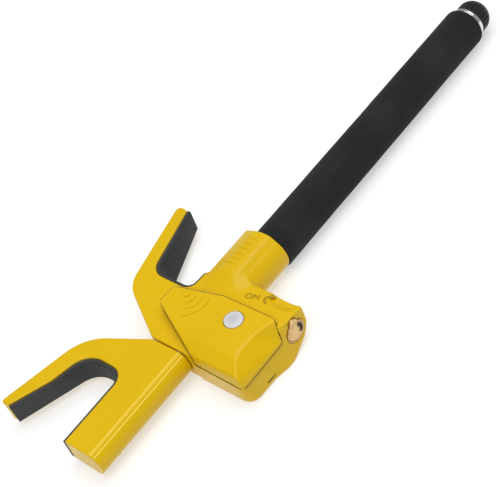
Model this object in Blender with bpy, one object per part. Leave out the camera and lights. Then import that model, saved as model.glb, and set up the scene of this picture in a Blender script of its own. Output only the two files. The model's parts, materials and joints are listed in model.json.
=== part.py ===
"""Double-hook steering-wheel lock with an alarm head.

Lengths are in millimetres and heights are measured from the bar's axis; both are turned into
metres above the floor when a mesh becomes an object. +X runs along the bar from the sliding hook
to the end cap, +Y points to the arms of the hooks and +Z is up. The origin lies on the flat
underside of the head, straight below the bar's axis.
"""

import math

import bmesh
import bpy
from mathutils import Matrix, Vector

# Frame
MM = 0.001
AXIS_HEIGHT = 19.0
GAP = 0.3

# Bar
ROD_R = 9.0
ROD_START = -109.7
ROD_END = 272.0
ROD_FLAT = 8.2
GROOVE_R = 6.5
GROOVE_WIDTH = 5.0
GROOVE_PITCH = 12.0
GROOVE_COUNT = 18
TRAVEL = 204.0
BUSH_R = 10.4
BUSH_START = -14.0
TUBE_START = 9.0
TUBE_END = 414.0
TUBE_R = 13.0
TUBE_BORE = 10.7
STOP_X = 54.0

# Grip and end cap
GRIP_START = 107.4
GRIP_END = 404.0
GRIP_R = 19.0
RING_R = 16.1
CAP_START = 408.3
CAP_END = 431.0
CAP_R = 15.8
CAP_RIBS = 16

# Hooks
HOOK_HALF = 12.2
JAW_BACK_R = 13.84
JAW_CREASE_Y = -6.5
JAW_END = -123.0
JAW_FACE = -16.5
LINER_T = 2.7
CORE_W = 6.5
CORE_HALF = 4.0

# Edge of each hook's mouth as x, y and corner radius, with the mouth on the left of the path
FIXED_MOUTH = [
    (103.0, 88.0, 0.0),
    (36.5, 71.3, 15.0),
    (36.5, 28.0, 10.0),
    (55.0, 27.0, 3.0),
    (58.0, 23.5, 1.5),
    (107.0, 23.5, 0.0),
]
SLIDING_MOUTH = [
    (-123.0, 22.0, 0.0),
    (-52.0, 22.0, 10.0),
    (-51.5, 63.3, 15.0),
    (-104.0, 77.5, 30.0),
    (-122.0, 88.5, 0.0),
]

# The steel core behind each mouth follows the same edge and stops short of its ends
FIXED_CORE = [(99.0, 87.0, 0.0)] + FIXED_MOUTH[1:-1] + [(103.0, 23.5, 0.0)]
SLIDING_CORE = [(-112.0, 22.0, 0.0)] + SLIDING_MOUTH[1:3] + [(-104.0, 77.5, 0.0)]

# Head
HEAD_BOTTOM = -19.0
POCKET_FLOOR = -15.0
SEAM_Z = 6.0
COVER_TOP = 24.0
COVER_OVER_HOOK = 12.5
WALL = 2.5
STRIP_X = 40.3
STRIP_INNER_Z = 18.0
STRIP_OUTER_Z = 14.5
HEAD_FAR_X = 64.0
HOOK_BACK_X = -14.0
HOOK_LOW_Y = -19.7
COVER_OUTLINE = [
    (28.0, 33.5, 3.0),
    (39.0, -11.0, 8.0),
    (40.0, -62.0, 3.0),
    (29.0, -75.0, 0.5),
    (-18.0, -75.0, 9.0),
    (-16.5, -21.0, 2.0),
    (10.5, 34.5, 2.0),
]

# Collar around the tube, beside the fixed hook's mouth
COLLAR_END = 107.0
COLLAR_DOME_R = 30.2
COLLAR_DOME_CENTRE = (1.5, -9.0)
COLLAR_SIDE_R = 18.6

# Lock
LOCK_X = 49.0
LOCK_Z = 1.0
LOCK_FACE = -70.8
BARREL_R = 10.0
BARREL_END = -38.0
LOBE_R = 4.4
LOBE_RISE = 9.2
PLUG_R = 8.5
CAM_BASE = -36.2
CAM_LIFT = 2.5
PAWL_HALF_X = 1.9
PAWL_HALF_Z = 4.0

# Alarm
BUTTON_X = 24.0
BUTTON_Y = -34.0
BUTTON_R = 8.1
BOARD_Z = -2.0

# Fasteners: where each one stands, seen from above
FIXED_HOOK_SCREWS = [(84.0, 20.0), (33.0, 50.0), (76.0, 85.0)]
JAW_SCREWS = [(-92.0, 18.5), (-48.4, 44.0), (-84.0, 75.8)]
COVER_SCREWS = [(-8.5, -61.5), (31.5, -61.5), (-8.5, -24.5)]
DOOR_SCREW = (29.2, -41.0)

YELLOW = ("yellow_abs", (0.80, 0.53, 0.012), 0.38, 0.0)
RUBBER = ("black_rubber", (0.028, 0.028, 0.03), 0.75, 0.0)
FOAM = ("black_foam", (0.02, 0.02, 0.022), 0.92, 0.0)
BLACK = ("black_plastic", (0.02, 0.02, 0.022), 0.45, 0.0)
CHROME = ("chrome", (0.78, 0.78, 0.8), 0.12, 1.0)
STEEL = ("steel", (0.55, 0.56, 0.58), 0.32, 1.0)
BRASS = ("brass", (0.72, 0.52, 0.30), 0.35, 1.0)
LENS = ("white_lens", (0.72, 0.72, 0.78), 0.4, 0.0)
BOARD = ("board", (0.02, 0.16, 0.07), 0.5, 0.0)
CELL = ("cell_wrap", (0.10, 0.12, 0.16), 0.4, 0.1)


# ---------------------------------------------------------------- outlines

def arc(centre, radius, start, end, steps):
    """Points on an arc between two angles in degrees."""
    points = []
    for step in range(steps + 1):
        angle = math.radians(start + (end - start) * step / steps)
        points.append((centre[0] + radius * math.cos(angle), centre[1] + radius * math.sin(angle)))
    return points


def fillet(before, corner, after, radius):
    """Points of the arc that rounds one corner."""
    here = Vector(corner)
    to_before = (Vector(before) - here).normalized()
    to_after = (Vector(after) - here).normalized()
    half = to_before.angle(to_after) / 2
    centre = here + (to_before + to_after).normalized() * radius / math.sin(half)
    first = here + to_before * radius / math.tan(half) - centre
    last = here + to_after * radius / math.tan(half) - centre
    turn = first.angle_signed(last)
    steps = max(2, math.ceil(abs(math.degrees(turn)) / 13))
    points = []
    for step in range(steps + 1):
        angle = -turn * step / steps
        spoke = Matrix.Rotation(angle, 2) @ first
        points.append(tuple(centre + spoke))
    return points


def rounded(corners, closed=True):
    """Outline through corners given as x, y and radius."""
    points = []
    count = len(corners)
    for index, (x, y, radius) in enumerate(corners):
        at_end = not closed and index in (0, count - 1)
        if radius <= 0 or at_end:
            points.append((x, y))
            continue
        before = corners[index - 1][:2]
        after = corners[(index + 1) % count][:2]
        points.extend(fillet(before, (x, y), after, radius))
    return points


def offset_path(corners, distance):
    """Shift an open path of corners to its left, and change the radii to suit."""
    moved = []
    last = len(corners) - 1
    for index, (x, y, radius) in enumerate(corners):
        here = Vector((x, y))
        into = here - Vector(corners[index - 1][:2]) if index else None
        out = Vector(corners[index + 1][:2]) - here if index < last else None
        into = (into or out).normalized()
        out = (out or into).normalized()
        left_in = Vector((-into.y, into.x))
        left_out = Vector((-out.y, out.x))
        shift = (left_in + left_out) / (1 + left_in.dot(left_out)) * distance
        turns_left = into.x * out.y - into.y * out.x > 0
        change = -distance if turns_left else distance
        new_radius = max(radius + change, 0.4) if radius else 0.0
        moved.append((x + shift.x, y + shift.y, new_radius))
    return moved


def band(path, inner, outer):
    """Closed outline between two offsets of a path."""
    near = rounded(offset_path(path, inner), closed=False)
    far = rounded(offset_path(path, outer), closed=False)
    return near + far[::-1]


# ---------------------------------------------------------------- solids

def prism(outline, low, high, bevel=0.0, axis="Z"):
    """Straight solid on an outline; axis X takes (y, z) points and axis Y takes (x, z)."""
    place = {
        "X": lambda a, b, h: (h, a, b),
        "Y": lambda a, b, h: (a, h, b),
        "Z": lambda a, b, h: (a, b, h),
    }[axis]
    bm = bmesh.new()
    bottom = [bm.verts.new(place(a, b, low)) for a, b in outline]
    top = [bm.verts.new(place(a, b, high)) for a, b in outline]
    caps = [bm.faces.new(bottom), bm.faces.new(top)]
    rims = [edge for cap in caps for edge in cap.edges]
    for index in range(len(outline)):
        after = (index + 1) % len(outline)
        bm.faces.new((bottom[index], bottom[after], top[after], top[index]))
    bmesh.ops.recalc_face_normals(bm, faces=bm.faces)
    if bevel:
        bmesh.ops.bevel(
            bm, geom=rims, offset=bevel, segments=2, profile=0.5, affect="EDGES", clamp_overlap=True
        )
    return bm


def box(low, high):
    """Block between two opposite corners."""
    corners = [(low[0], low[1]), (high[0], low[1]), (high[0], high[1]), (low[0], high[1])]
    return prism(corners, low[2], high[2])


def stack(rings, closed_ends=True):
    """Skin a list of equal rings of points; a ring of one point is a pole."""
    bm = bmesh.new()
    rows = [[bm.verts.new(point) for point in ring] for ring in rings]
    for near, far in zip(rows, rows[1:]):
        count = max(len(near), len(far))
        for index in range(count):
            after = (index + 1) % count
            face = [near[index % len(near)], near[after % len(near)]]
            face += [far[after % len(far)], far[index % len(far)]]
            unique = list(dict.fromkeys(face))
            bm.faces.new(unique)
    if closed_ends:
        for row in (rows[0], rows[-1]):
            if len(row) > 2:
                bm.faces.new(row)
    bmesh.ops.recalc_face_normals(bm, faces=bm.faces)
    return bm


def turned(profile, axis="X", centre=(0.0, 0.0), segments=48, radius_at=None, looped=False):
    """Spin (along, radius) points round an axis whose other two coordinates are the centre."""
    rings = []
    for row, (along, radius) in enumerate(profile):
        ring = []
        for step in range(segments if radius > 0 else 1):
            angle = 2 * math.pi * step / segments
            reach = radius_at(row, step, radius) if radius_at else radius
            a = centre[0] + reach * math.cos(angle)
            b = centre[1] + reach * math.sin(angle)
            ring.append({"X": (along, a, b), "Y": (a, along, b), "Z": (a, b, along)}[axis])
        rings.append(ring)
    if looped:
        rings.append(rings[0])
        bm = stack(rings, closed_ends=False)
        bmesh.ops.remove_doubles(bm, verts=bm.verts, dist=1e-3)
        bmesh.ops.recalc_face_normals(bm, faces=bm.faces)
        return bm
    return stack(rings)


def tube(low, high, inner, outer, axis="X", centre=(0.0, 0.0), segments=48):
    """Plain sleeve."""
    profile = [(low, inner), (low, outer), (high, outer), (high, inner)]
    return turned(profile, axis, centre, segments, looped=True)


def rod(low, high, radius, axis="X", centre=(0.0, 0.0), segments=48):
    """Plain round bar."""
    profile = [(low, radius), (high, radius)]
    return turned(profile, axis, centre, segments)


def cut(bm, point, normal):
    """Slice a solid and close it; what the normal points to is removed."""
    geometry = bm.verts[:] + bm.edges[:] + bm.faces[:]
    sliced = bmesh.ops.bisect_plane(
        bm, geom=geometry, dist=1e-4, plane_co=point, plane_no=normal, clear_outer=True
    )
    edges = [item for item in sliced["geom_cut"] if isinstance(item, bmesh.types.BMEdge)]
    bmesh.ops.triangle_fill(bm, edges=edges, use_beauty=True, use_dissolve=False)
    bmesh.ops.dissolve_limit(
        bm, angle_limit=math.radians(0.05), verts=bm.verts, edges=bm.edges, delimit=set()
    )
    bmesh.ops.recalc_face_normals(bm, faces=bm.faces)
    return bm


def cut_through(bm, first, second, third, outside):
    """Slice a solid with the plane of three points, on the side where the point outside is."""
    normal = (Vector(second) - Vector(first)).cross(Vector(third) - Vector(first))
    if normal.dot(Vector(outside) - Vector(first)) < 0:
        normal = -normal
    return cut(bm, first, normal)


def scratch_object(bm):
    """Put a solid in the scene for a Boolean."""
    mesh = bpy.data.meshes.new("scratch")
    bm.to_mesh(mesh)
    bm.free()
    item = bpy.data.objects.new("scratch", mesh)
    bpy.context.scene.collection.objects.link(item)
    return item


def combine(base, operation, tool):
    """Run one Boolean between two solids and return the clean result."""
    body, other = scratch_object(base), scratch_object(tool)
    modifier = body.modifiers.new(operation, "BOOLEAN")
    modifier.operation = operation
    modifier.solver = "EXACT"
    modifier.object = other
    bpy.context.view_layer.update()
    evaluated = body.evaluated_get(bpy.context.evaluated_depsgraph_get())
    result = bmesh.new()
    result.from_mesh(evaluated.to_mesh())
    evaluated.to_mesh_clear()
    for item in (body, other):
        mesh = item.data
        bpy.data.objects.remove(item)
        bpy.data.meshes.remove(mesh)
    bmesh.ops.remove_doubles(result, verts=result.verts, dist=1e-3)
    bmesh.ops.dissolve_degenerate(result, edges=result.edges, dist=1e-3)
    return result


def minus(base, *tools):
    """Take solids away from a solid."""
    for tool in tools:
        base = combine(base, "DIFFERENCE", tool)
    return base


def plus(base, *tools):
    """Join solids to a solid."""
    for tool in tools:
        base = combine(base, "UNION", tool)
    return base


# ---------------------------------------------------------------- materials and objects

def finish(spec):
    """Principled material from a name, colour, roughness and metallic value."""
    name, colour, roughness, metallic = spec
    material = bpy.data.materials.get(name)
    if material is None:
        material = bpy.data.materials.new(name)
        material.use_nodes = True
        shader = material.node_tree.nodes["Principled BSDF"]
        shader.inputs["Base Color"].default_value = (*colour, 1.0)
        shader.inputs["Roughness"].default_value = roughness
        shader.inputs["Metallic"].default_value = metallic
        material.diffuse_color = (*colour, 1.0)
    return material


def make(name, bm, spec, origin=(0.0, 0.0, -AXIS_HEIGHT), smooth=35.0):
    """Turn a solid in millimetres into a named object whose origin is where it is told."""
    bmesh.ops.translate(bm, verts=bm.verts, vec=-Vector(origin))
    bmesh.ops.scale(bm, verts=bm.verts, vec=(MM, MM, MM))
    bmesh.ops.triangulate(bm, faces=bm.faces)
    mesh = bpy.data.meshes.new(name)
    bm.to_mesh(mesh)
    bm.free()
    mesh.shade_smooth()
    mesh.set_sharp_from_angle(angle=math.radians(smooth))
    mesh.materials.append(finish(spec))
    item = bpy.data.objects.new(name, mesh)
    item.location = Vector((origin[0], origin[1], origin[2] + AXIS_HEIGHT)) * MM
    bpy.context.scene.collection.objects.link(item)
    return item


# ---------------------------------------------------------------- head

def cover_blank(inset=0.0):
    """Solid outer form of the alarm cover, or the same form pulled in all round."""
    corners = [(x, y, max(r - inset, 0.4)) for x, y, r in COVER_OUTLINE]
    path = offset_path(corners + corners[:2], -inset)[1:-1]
    low = SEAM_Z + GAP - 5 * abs(inset)
    bm = prism(rounded([path[-1]] + path[:-1]), low, COVER_TOP - inset)
    left = inset
    cut_through(
        bm, (-3.0 + left, 0, COVER_TOP - inset), (-3.0 + left, -50, COVER_TOP - inset),
        (-15.5 + left, 0, 17.0 - inset), (-40, 0, 30),
    )
    cut_through(
        bm, (-1, -57.5 + inset, COVER_TOP - inset), (38, -64 + inset, COVER_TOP - inset),
        (10, -70.5 + inset, 10.5 - inset), (0, -90, 40),
    )
    cut_through(
        bm, (-17.5 + left, 0, SEAM_Z), (-17.5 + left, -50, SEAM_Z), (-15.6 + left, 0, 17.0), (-40, 0, 12)
    )
    cut_through(bm, (0, -71.6 + inset, SEAM_Z), (9, -71.6 + inset, SEAM_Z), (0, -69 + inset, 14), (0, -90, 6))
    return bm


def emblem_ribs():
    """Raised sound-wave mark: a dot and two arcs."""
    ribs = []
    centre = (22.0, 3.0)
    for radius in (0.0, 5.5, 9.5):
        if radius == 0:
            outline = arc(centre, 2.2, 0, 330, 11)
        else:
            outline = arc(centre, radius - 0.9, 120, 240, 10) + arc(centre, radius + 0.9, 240, 120, 10)
        ribs.append(prism(outline, COVER_TOP - 1.0, COVER_TOP + 0.5))
    return ribs


def alarm_cover():
    """Raised shell over the electronics, with its button hole and screw posts."""
    hollow = cover_blank(WALL)
    under_hook = box((-30, HOOK_LOW_Y - GAP, 0), (46, 40, COVER_OVER_HOOK))
    saddle = rod(0, 46, 15.4, segments=40)
    button_hole = rod(15, 30, BUTTON_R + 0.35, "Z", (BUTTON_X, BUTTON_Y), 40)
    shell = minus(cover_blank(), hollow, under_hook, saddle, button_hole)
    posts = [rod(SEAM_Z + GAP, 17.0, 3.4, "Z", place, 16) for place in COVER_SCREWS]
    shell = plus(shell, *posts, *emblem_ribs())
    holes = [rod(0, 13.0, 1.6, "Z", place, 12) for place in COVER_SCREWS]
    return minus(shell, *holes)


def fixed_hook_plate():
    """Flat plate of the fixed hook, from the tip of its arm to the bar."""
    outer = [
        (COLLAR_END, 5.0, 0.0),
        (60.0, 5.0, 0.0),
        (60.0, HOOK_LOW_Y, 0.0),
        (HOOK_BACK_X, HOOK_LOW_Y, 0.0),
        (HOOK_BACK_X, 25.8, 8.0),
        (16.9, 79.8, 30.0),
        (104.5, 99.5, 4.5),
    ]
    return prism(rounded(FIXED_MOUTH + outer), -HOOK_HALF, HOOK_HALF, bevel=1.2)


def collar_section(rise):
    """Section across the collar: low dome on top, round on the -Y side."""
    dome = arc(COLLAR_DOME_CENTRE, COLLAR_DOME_R, 44.4, 102.4, 7)
    side = arc((0.0, 1.0), COLLAR_SIDE_R, 121.0, 250.0, 12)
    base = HOOK_HALF - 0.4
    top = [(y, min(z, base + (z - base) * rise)) for y, z in dome + side]
    return top + [(10.0, -17.0), (23.2, -11.6)]


def collar():
    """Sleeve round the tube that sinks into the head at one end."""
    stations = [(49.0, 0.1, 0.0), (57.0, 0.35, 0.0), (63.0, 0.8, 0.0), (69.0, 1.0, 0.0)]
    stations += [(COLLAR_END - 1.2, 1.0, 0.0), (COLLAR_END, 1.0, 1.0)]
    rings = []
    for x, rise, inset in stations:
        ring = []
        for y, z in collar_section(rise):
            shrink = 1 - inset / 20.0
            ring.append((x, y * shrink, z * shrink))
        rings.append(ring)
    return stack(rings)


def head_block(top, low_x, high_x):
    """Part of the head's box between two X values, with its drafts and bottom corner cuts."""
    corners = [
        (HOOK_BACK_X + 0.2, 17.0, 0.0),
        (HOOK_BACK_X + 0.2, -18.0, 0.0),
        (-18.0, -18.0, 0.0),
        (-18.0, -75.0, 9.0),
        (HEAD_FAR_X, -75.0, 9.0),
        (HEAD_FAR_X, 17.0, 0.0),
    ]
    bm = prism(rounded(corners), HEAD_BOTTOM, top)
    cut_through(bm, (0, -69, 14), (9, -69, 14), (0, -73.3, -19), (0, -90, 0))
    cut_through(bm, (-15, 0, -19), (-15, 9, -19), (-17.5, 0, SEAM_Z), (-40, 0, 0))
    cut_through(bm, (64.5, 0, 0), (64.5, 9, 0), (55, 0, -13), (80, 0, -20))
    cut_through(bm, (55, 0, -13), (55, 9, -13), (40, 0, -19.3), (60, 0, -30))
    if low_x > -18:
        cut(bm, (low_x, 0, 0), (-1, 0, 0))
    if high_x < HEAD_FAR_X:
        cut(bm, (high_x, 0, 0), (1, 0, 0))
    return bm


def strip_block():
    """Sloping strip beside the cover that holds the lock."""
    bm = head_block(26.0, 24.0, 90.0)
    cut_through(
        bm, (STRIP_X, 0, STRIP_INNER_Z), (STRIP_X, 9, STRIP_INNER_Z), (HEAD_FAR_X, 0, STRIP_OUTER_Z),
        (50, 0, 40),
    )
    return cut(bm, (0, 11.0, 0), (0, 1, 0))


def pocket_outline(inset):
    """Electronics pocket seen from above, with a notch at each screw post."""
    low_x, high_x, low_y, high_y = -12 + inset, 36 - inset, -65 + inset, -20 - inset
    notch = 8.0
    return [
        (low_x + notch, low_y),
        (high_x - notch, low_y),
        (high_x - notch, low_y + notch),
        (high_x, low_y + notch),
        (high_x, high_y),
        (low_x + notch, high_y),
        (low_x + notch, high_y - notch),
        (low_x, high_y - notch),
        (low_x, low_y + notch),
        (low_x + notch, low_y + notch),
    ]


def lock_outline(grow):
    """Barrel section: a large circle with a smaller one standing on it."""
    big = BARREL_R + grow
    small = LOBE_R + grow
    half = 20.0
    lobe = arc((LOCK_X, LOCK_Z + LOBE_RISE), small, -5, 185, 10)
    body = arc((LOCK_X, LOCK_Z), big, 90 + 2 * half, 450 - 2 * half, 28)
    return lobe + body


def turn_arrow():
    """Raised curved arrow beside the lock."""
    centre = (52.0, -45.5)
    body = arc(centre, 4.6, 200, 330, 9) + arc(centre, 3.2, 330, 200, 9)
    shaft = prism(body, 15.2, 17.0)
    head = prism([(54.2, -48.2), (58.6, -46.0), (54.4, -43.6)], 14.0, 16.6)
    return [shaft, head]


def housing():
    """Main moulding: fixed hook, collar and the lower half of the head."""
    low_block = head_block(SEAM_Z, -90.0, 90.0)
    solid = plus(fixed_hook_plate(), low_block, strip_block(), collar())
    clearance = cover_blank(-GAP)
    cut(clearance, (0, HOOK_LOW_Y, 0), (0, 1, 0))
    cut(clearance, (0, 0, SEAM_Z), (0, 0, -1))
    over_hook = cover_blank(-GAP)
    cut(over_hook, (0, HOOK_LOW_Y - 2, 0), (0, -1, 0))
    cut(over_hook, (0, 0, HOOK_HALF + 0.15), (0, 0, -1))
    solid = plus(minus(solid, clearance, over_hook), rod(8.0, 58.0, 14.9, segments=40))
    bores = [
        rod(-30, 20, BUSH_R + GAP, segments=28),
        rod(TUBE_START - GAP, 120, TUBE_R + GAP, segments=32),
        rod(-30, BUSH_START + 2.1, 12.3, segments=28),
    ]
    pocket = [
        prism(pocket_outline(0.0), BOARD_Z - GAP, 30),
        prism(pocket_outline(1.5), POCKET_FLOOR, 30),
        box((-1, -53, -30), (25, -30.5, 0)),
        prism(door_outline(0.3), -30, HEAD_BOTTOM + 2.5),
    ]
    lock = [
        prism(lock_outline(GAP), -90, BARREL_END, axis="Y"),
        rod(BARREL_END - 1, -28.5, 8.0, "Y", (LOCK_X, LOCK_Z), 32),
        box((LOCK_X - 2.3, -30, -4.4), (LOCK_X + 2.3, 0, 4.4)),
        scoop(),
    ]
    core = core_slot(FIXED_CORE)
    holes = []
    for place in FIXED_HOOK_SCREWS:
        holes.append(rod(-20, 2.6, 1.7, "Z", place, 12))
        holes.append(rod(-20, -9.4, 3.1, "Z", place, 16))
    for place in COVER_SCREWS:
        holes.append(rod(-30, 10, 1.7, "Z", place, 12))
        holes.append(rod(-30, -14.4, 3.1, "Z", place, 16))
    holes.append(rod(-30, -13.5, 1.3, "Z", DOOR_SCREW, 12))
    solid = minus(solid, *bores, *pocket, *lock, core, *holes)
    return plus(solid, *turn_arrow(), *collar_ribs())


def scoop():
    """Finger scoop in the edge beside the lock."""
    profile = []
    steps = 10
    for step in range(steps + 1):
        angle = math.pi * step / steps
        radius = 0.0 if step in (0, steps) else 14.0 * math.sin(angle)
        profile.append((-53.0 - 22.0 * math.cos(angle), radius))
    return turned(profile, "Y", (63.0, 25.5), 32)


def collar_ribs():
    """Row of low grip ribs on the collar's top."""
    ribs = []
    for index in range(6):
        x = 70.0 + 5.6 * index
        outline = [(x, 1.0), (x + 2.0, 1.0), (x + 2.0, 13.0), (x, 13.0)]
        rib = prism(outline, 14.0, 24.0)
        lid = turned([(x - 2, 30.55), (x + 4, 30.55)], "X", COLLAR_DOME_CENTRE, 72)
        ribs.append(combine(rib, "INTERSECT", lid))
    return ribs


def door_outline(grow):
    """Outline of the battery door."""
    low_x, high_x, low_y, high_y = -4.0 - grow, 33.0 + grow, -55.5 - grow, -28.0 + grow
    return rounded([(low_x, low_y, 3), (high_x, low_y, 3), (high_x, high_y, 3), (low_x, high_y, 3)])


def battery_door():
    """Flat door under the head, with slots that let the siren out."""
    plate = prism(door_outline(0.0), HEAD_BOTTOM + 0.2, HEAD_BOTTOM + 2.2)
    slots = []
    for index in range(5):
        x = 6.0 + 3.4 * index
        slots.append(box((x, -51, -30), (x + 1.6, -39, 0)))
    screw_hole = rod(-30, 0, 1.3, "Z", DOOR_SCREW, 12)
    sink = rod(-30, HEAD_BOTTOM + 1.3, 2.5, "Z", DOOR_SCREW, 16)
    return minus(plate, *slots, screw_hole, sink)


# ---------------------------------------------------------------- hooks

def jaw_shell():
    """Moulding of the sliding hook."""
    outer = [
        (-122.8, 97.5, 2.5),
        (-42.3, 77.2, 42.0),
        (JAW_FACE, 23.0, 8.0),
        (JAW_FACE, JAW_CREASE_Y, 0.0),
        (JAW_END, JAW_CREASE_Y, 0.0),
    ]
    plate = prism(rounded(SLIDING_MOUTH + outer), -HOOK_HALF, HOOK_HALF, bevel=1.2)
    half = math.degrees(math.asin(HOOK_HALF / JAW_BACK_R))
    section = arc((0, 0), JAW_BACK_R, 180 - half, 180 + half, 14)
    back = prism([(2.0, HOOK_HALF)] + section + [(2.0, -HOOK_HALF)], JAW_END, JAW_FACE, 0.8, "X")
    solid = plus(plate, back)
    bore = rod(ROD_START - GAP, 0, ROD_R + GAP, segments=24)
    slot = core_slot(SLIDING_CORE)
    pin_hole = rod(-11.5, 30, 2.8, "Y", (-40.0, 0.0), 16)
    holes = []
    for place in JAW_SCREWS:
        holes.append(rod(-20, 2.6, 1.7, "Z", place, 12))
        holes.append(rod(-20, -9.4, 3.1, "Z", place, 16))
    return minus(solid, bore, slot, pin_hole, *holes)


def core_slot(path):
    """Cutter for the slot that a hook's core slides into from its mouth."""
    ends = []
    for tip, neck in ((path[0], path[1]), (path[-1], path[-2])):
        out = (Vector(tip[:2]) - Vector(neck[:2])).normalized() * GAP
        ends.append((tip[0] + out.x, tip[1] + out.y, 0.0))
    longer = [ends[0]] + path[1:-1] + [ends[1]]
    return prism(band(longer, -CORE_W - 2 * GAP, 1.0), -CORE_HALF - GAP, CORE_HALF + GAP)


def hook_core(path, screws):
    """Steel plate that stiffens a hook behind its liner."""
    plate = prism(band(path, -CORE_W - GAP, -GAP), -CORE_HALF, CORE_HALF)
    holes = [rod(-20, 20, 1.7, "Z", place, 12) for place in screws]
    return minus(plate, *holes)


def hook_liner(path, half):
    """Rubber strip round the inside of a hook's mouth."""
    return prism(band(path, GAP, GAP + LINER_T), -half, half, bevel=0.5)


# ---------------------------------------------------------------- bar

def notched_rod():
    """Sliding rod with its row of locking grooves and a flat that keeps it from turning."""
    profile = [(ROD_START, 0.0), (ROD_START, ROD_R)]
    for index in range(GROOVE_COUNT):
        middle = LOCK_X + GROOVE_PITCH * index
        left, right = middle - GROOVE_WIDTH / 2, middle + GROOVE_WIDTH / 2
        profile += [(left, ROD_R), (left, GROOVE_R), (right, GROOVE_R), (right, ROD_R)]
    profile += [(262.0, ROD_R), (262.0, 7.0), (268.0, 7.0), (268.0, ROD_R)]
    profile += [(ROD_END - 1, ROD_R), (ROD_END, ROD_R - 1), (ROD_END, 0.0)]
    bar = cut(turned(profile, segments=20), (0, ROD_FLAT, 0), (0, 1, 0))
    pin_hole = rod(-30, 30, 2.8, "Y", (-40.0, 0.0), 16)
    return minus(bar, pin_hole)


def guide_bush():
    """Bush at the head's mouth whose bore has the rod's flat."""
    end = TUBE_START - GAP
    profile = [(BUSH_START + 0.2, 0.0), (BUSH_START + 0.2, 12.0), (BUSH_START + 1.8, 12.0)]
    profile += [(BUSH_START + 1.8, BUSH_R), (end, BUSH_R), (end, 0.0)]
    bore = rod(-30, 30, ROD_R + GAP, segments=24)
    cut(bore, (0, ROD_FLAT + GAP, 0), (0, 1, 0))
    return minus(turned(profile, segments=28), bore)


def steel_tube():
    """Fixed tube from the head to the end cap, with a window for the pawl."""
    sleeve = tube(TUBE_START, TUBE_END, TUBE_BORE, TUBE_R, segments=32)
    window = box((LOCK_X - 2.4, -20, -4.5), (LOCK_X + 2.4, 0, 4.5))
    return minus(sleeve, window)


def foam_grip():
    """Foam sleeve over the tube."""
    inner = TUBE_R + GAP
    profile = [(GRIP_START, inner), (GRIP_START, GRIP_R - 1), (GRIP_START + 1, GRIP_R)]
    for step in range(5):
        angle = math.radians(90 * step / 4)
        profile.append((GRIP_END - 4 + 4 * math.sin(angle), GRIP_R - 4 + 4 * math.cos(angle)))
    profile.append((GRIP_END, inner))
    return turned(profile, segments=36, looped=True)


def chrome_ring():
    """Bright ring between the grip and the end cap."""
    inner = TUBE_R + GAP
    low, high = GRIP_END + GAP, CAP_START - GAP
    profile = [(low, inner), (low, RING_R - 0.6), (low + 0.8, RING_R), (high - 0.8, RING_R)]
    profile += [(high, RING_R - 0.6), (high, inner)]
    return turned(profile, segments=36, looped=True)


def end_cap():
    """Ribbed cap with a domed end."""
    segments = CAP_RIBS * 3
    rib_end = CAP_START + 11.0
    profile = [(TUBE_END + GAP, 0.0), (TUBE_END + GAP, TUBE_R + GAP), (CAP_START, TUBE_R + GAP)]
    profile += [(CAP_START, CAP_R - 0.5), (CAP_START + 0.6, CAP_R), (rib_end, CAP_R)]
    ribbed = (4, 5)
    for step in range(1, 7):
        angle = math.radians(90 * step / 6)
        radius = CAP_R * math.cos(angle) if step < 6 else 0.0
        profile.append((rib_end + (CAP_END - rib_end) * math.sin(angle), radius))

    def radius_at(row, step, radius):
        return radius - 0.7 if row in ribbed and step % 3 == 0 else radius

    return turned(profile, segments=segments, radius_at=radius_at)


# ---------------------------------------------------------------- lock

def lock_barrel():
    """Brass body of the lock."""
    body = prism(lock_outline(0.0), LOCK_FACE, BARREL_END - GAP, axis="Y")
    bore = rod(-90, 0, PLUG_R + GAP, "Y", (LOCK_X, LOCK_Z), 36)
    return minus(body, bore)


def lock_plug():
    """Turning plug with its keyway in front and a rising cam ring behind."""
    centre = (LOCK_X, LOCK_Z)
    profile = [(LOCK_FACE + 0.2, 0.0), (LOCK_FACE + 0.2, PLUG_R - 0.4), (LOCK_FACE + 0.6, PLUG_R)]
    profile += [(BARREL_END - 1.5, PLUG_R), (BARREL_END - 1.5, 7.0), (CAM_BASE, 7.0), (CAM_BASE, 0.0)]
    body = turned(profile, "Y", centre, 36)
    keyway = box((LOCK_X + 4.0, -90, LOCK_Z - 4.4), (LOCK_X + 7.0, LOCK_FACE + 22, LOCK_Z + 4.4))
    teeth = [
        box((LOCK_X + 3.2, -90, LOCK_Z + 1.9 * step - 0.45), (LOCK_X + 5, -60, LOCK_Z + 1.9 * step + 0.45))
        for step in (-2, -1, 0, 1, 2)
    ]
    return plus(minus(body, keyway, *teeth), cam_ramp())


def cam_ramp():
    """Ramp that rises round the plug's end and pushes the pawl as the plug turns."""
    rings = []
    for step in range(13):
        angle_deg = 16.0 + 9.0 * step
        angle = math.radians(angle_deg)
        height = 0.05 + CAM_LIFT * min(max((angle_deg - 16.0) / 90.0, 0.0), 1.0)
        low, high = CAM_BASE - 0.6, CAM_BASE + height
        ring = []
        for radius, y in ((3.8, low), (6.8, low), (6.8, high), (3.8, high)):
            ring.append((LOCK_X + radius * math.cos(angle), y, LOCK_Z + radius * math.sin(angle)))
        rings.append(ring)
    return stack(rings)


def lock_pawl():
    """Bolt that drops into a groove of the rod, with the pad its cam pushes."""
    low, high = CAM_BASE + CAM_LIFT + 0.3, -31.2
    foot = rod(low, high, 7.2, "Y", (LOCK_X, LOCK_Z), 28)
    bolt = box((LOCK_X - PAWL_HALF_X, high - 0.5, -PAWL_HALF_Z), (LOCK_X + PAWL_HALF_X, -9.5, PAWL_HALF_Z))
    pad = box((LOCK_X + 4.4, CAM_BASE + 0.35, LOCK_Z - 0.8), (LOCK_X + 6.2, low + 0.5, LOCK_Z + 0.8))
    return plus(foot, bolt, pad)


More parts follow.
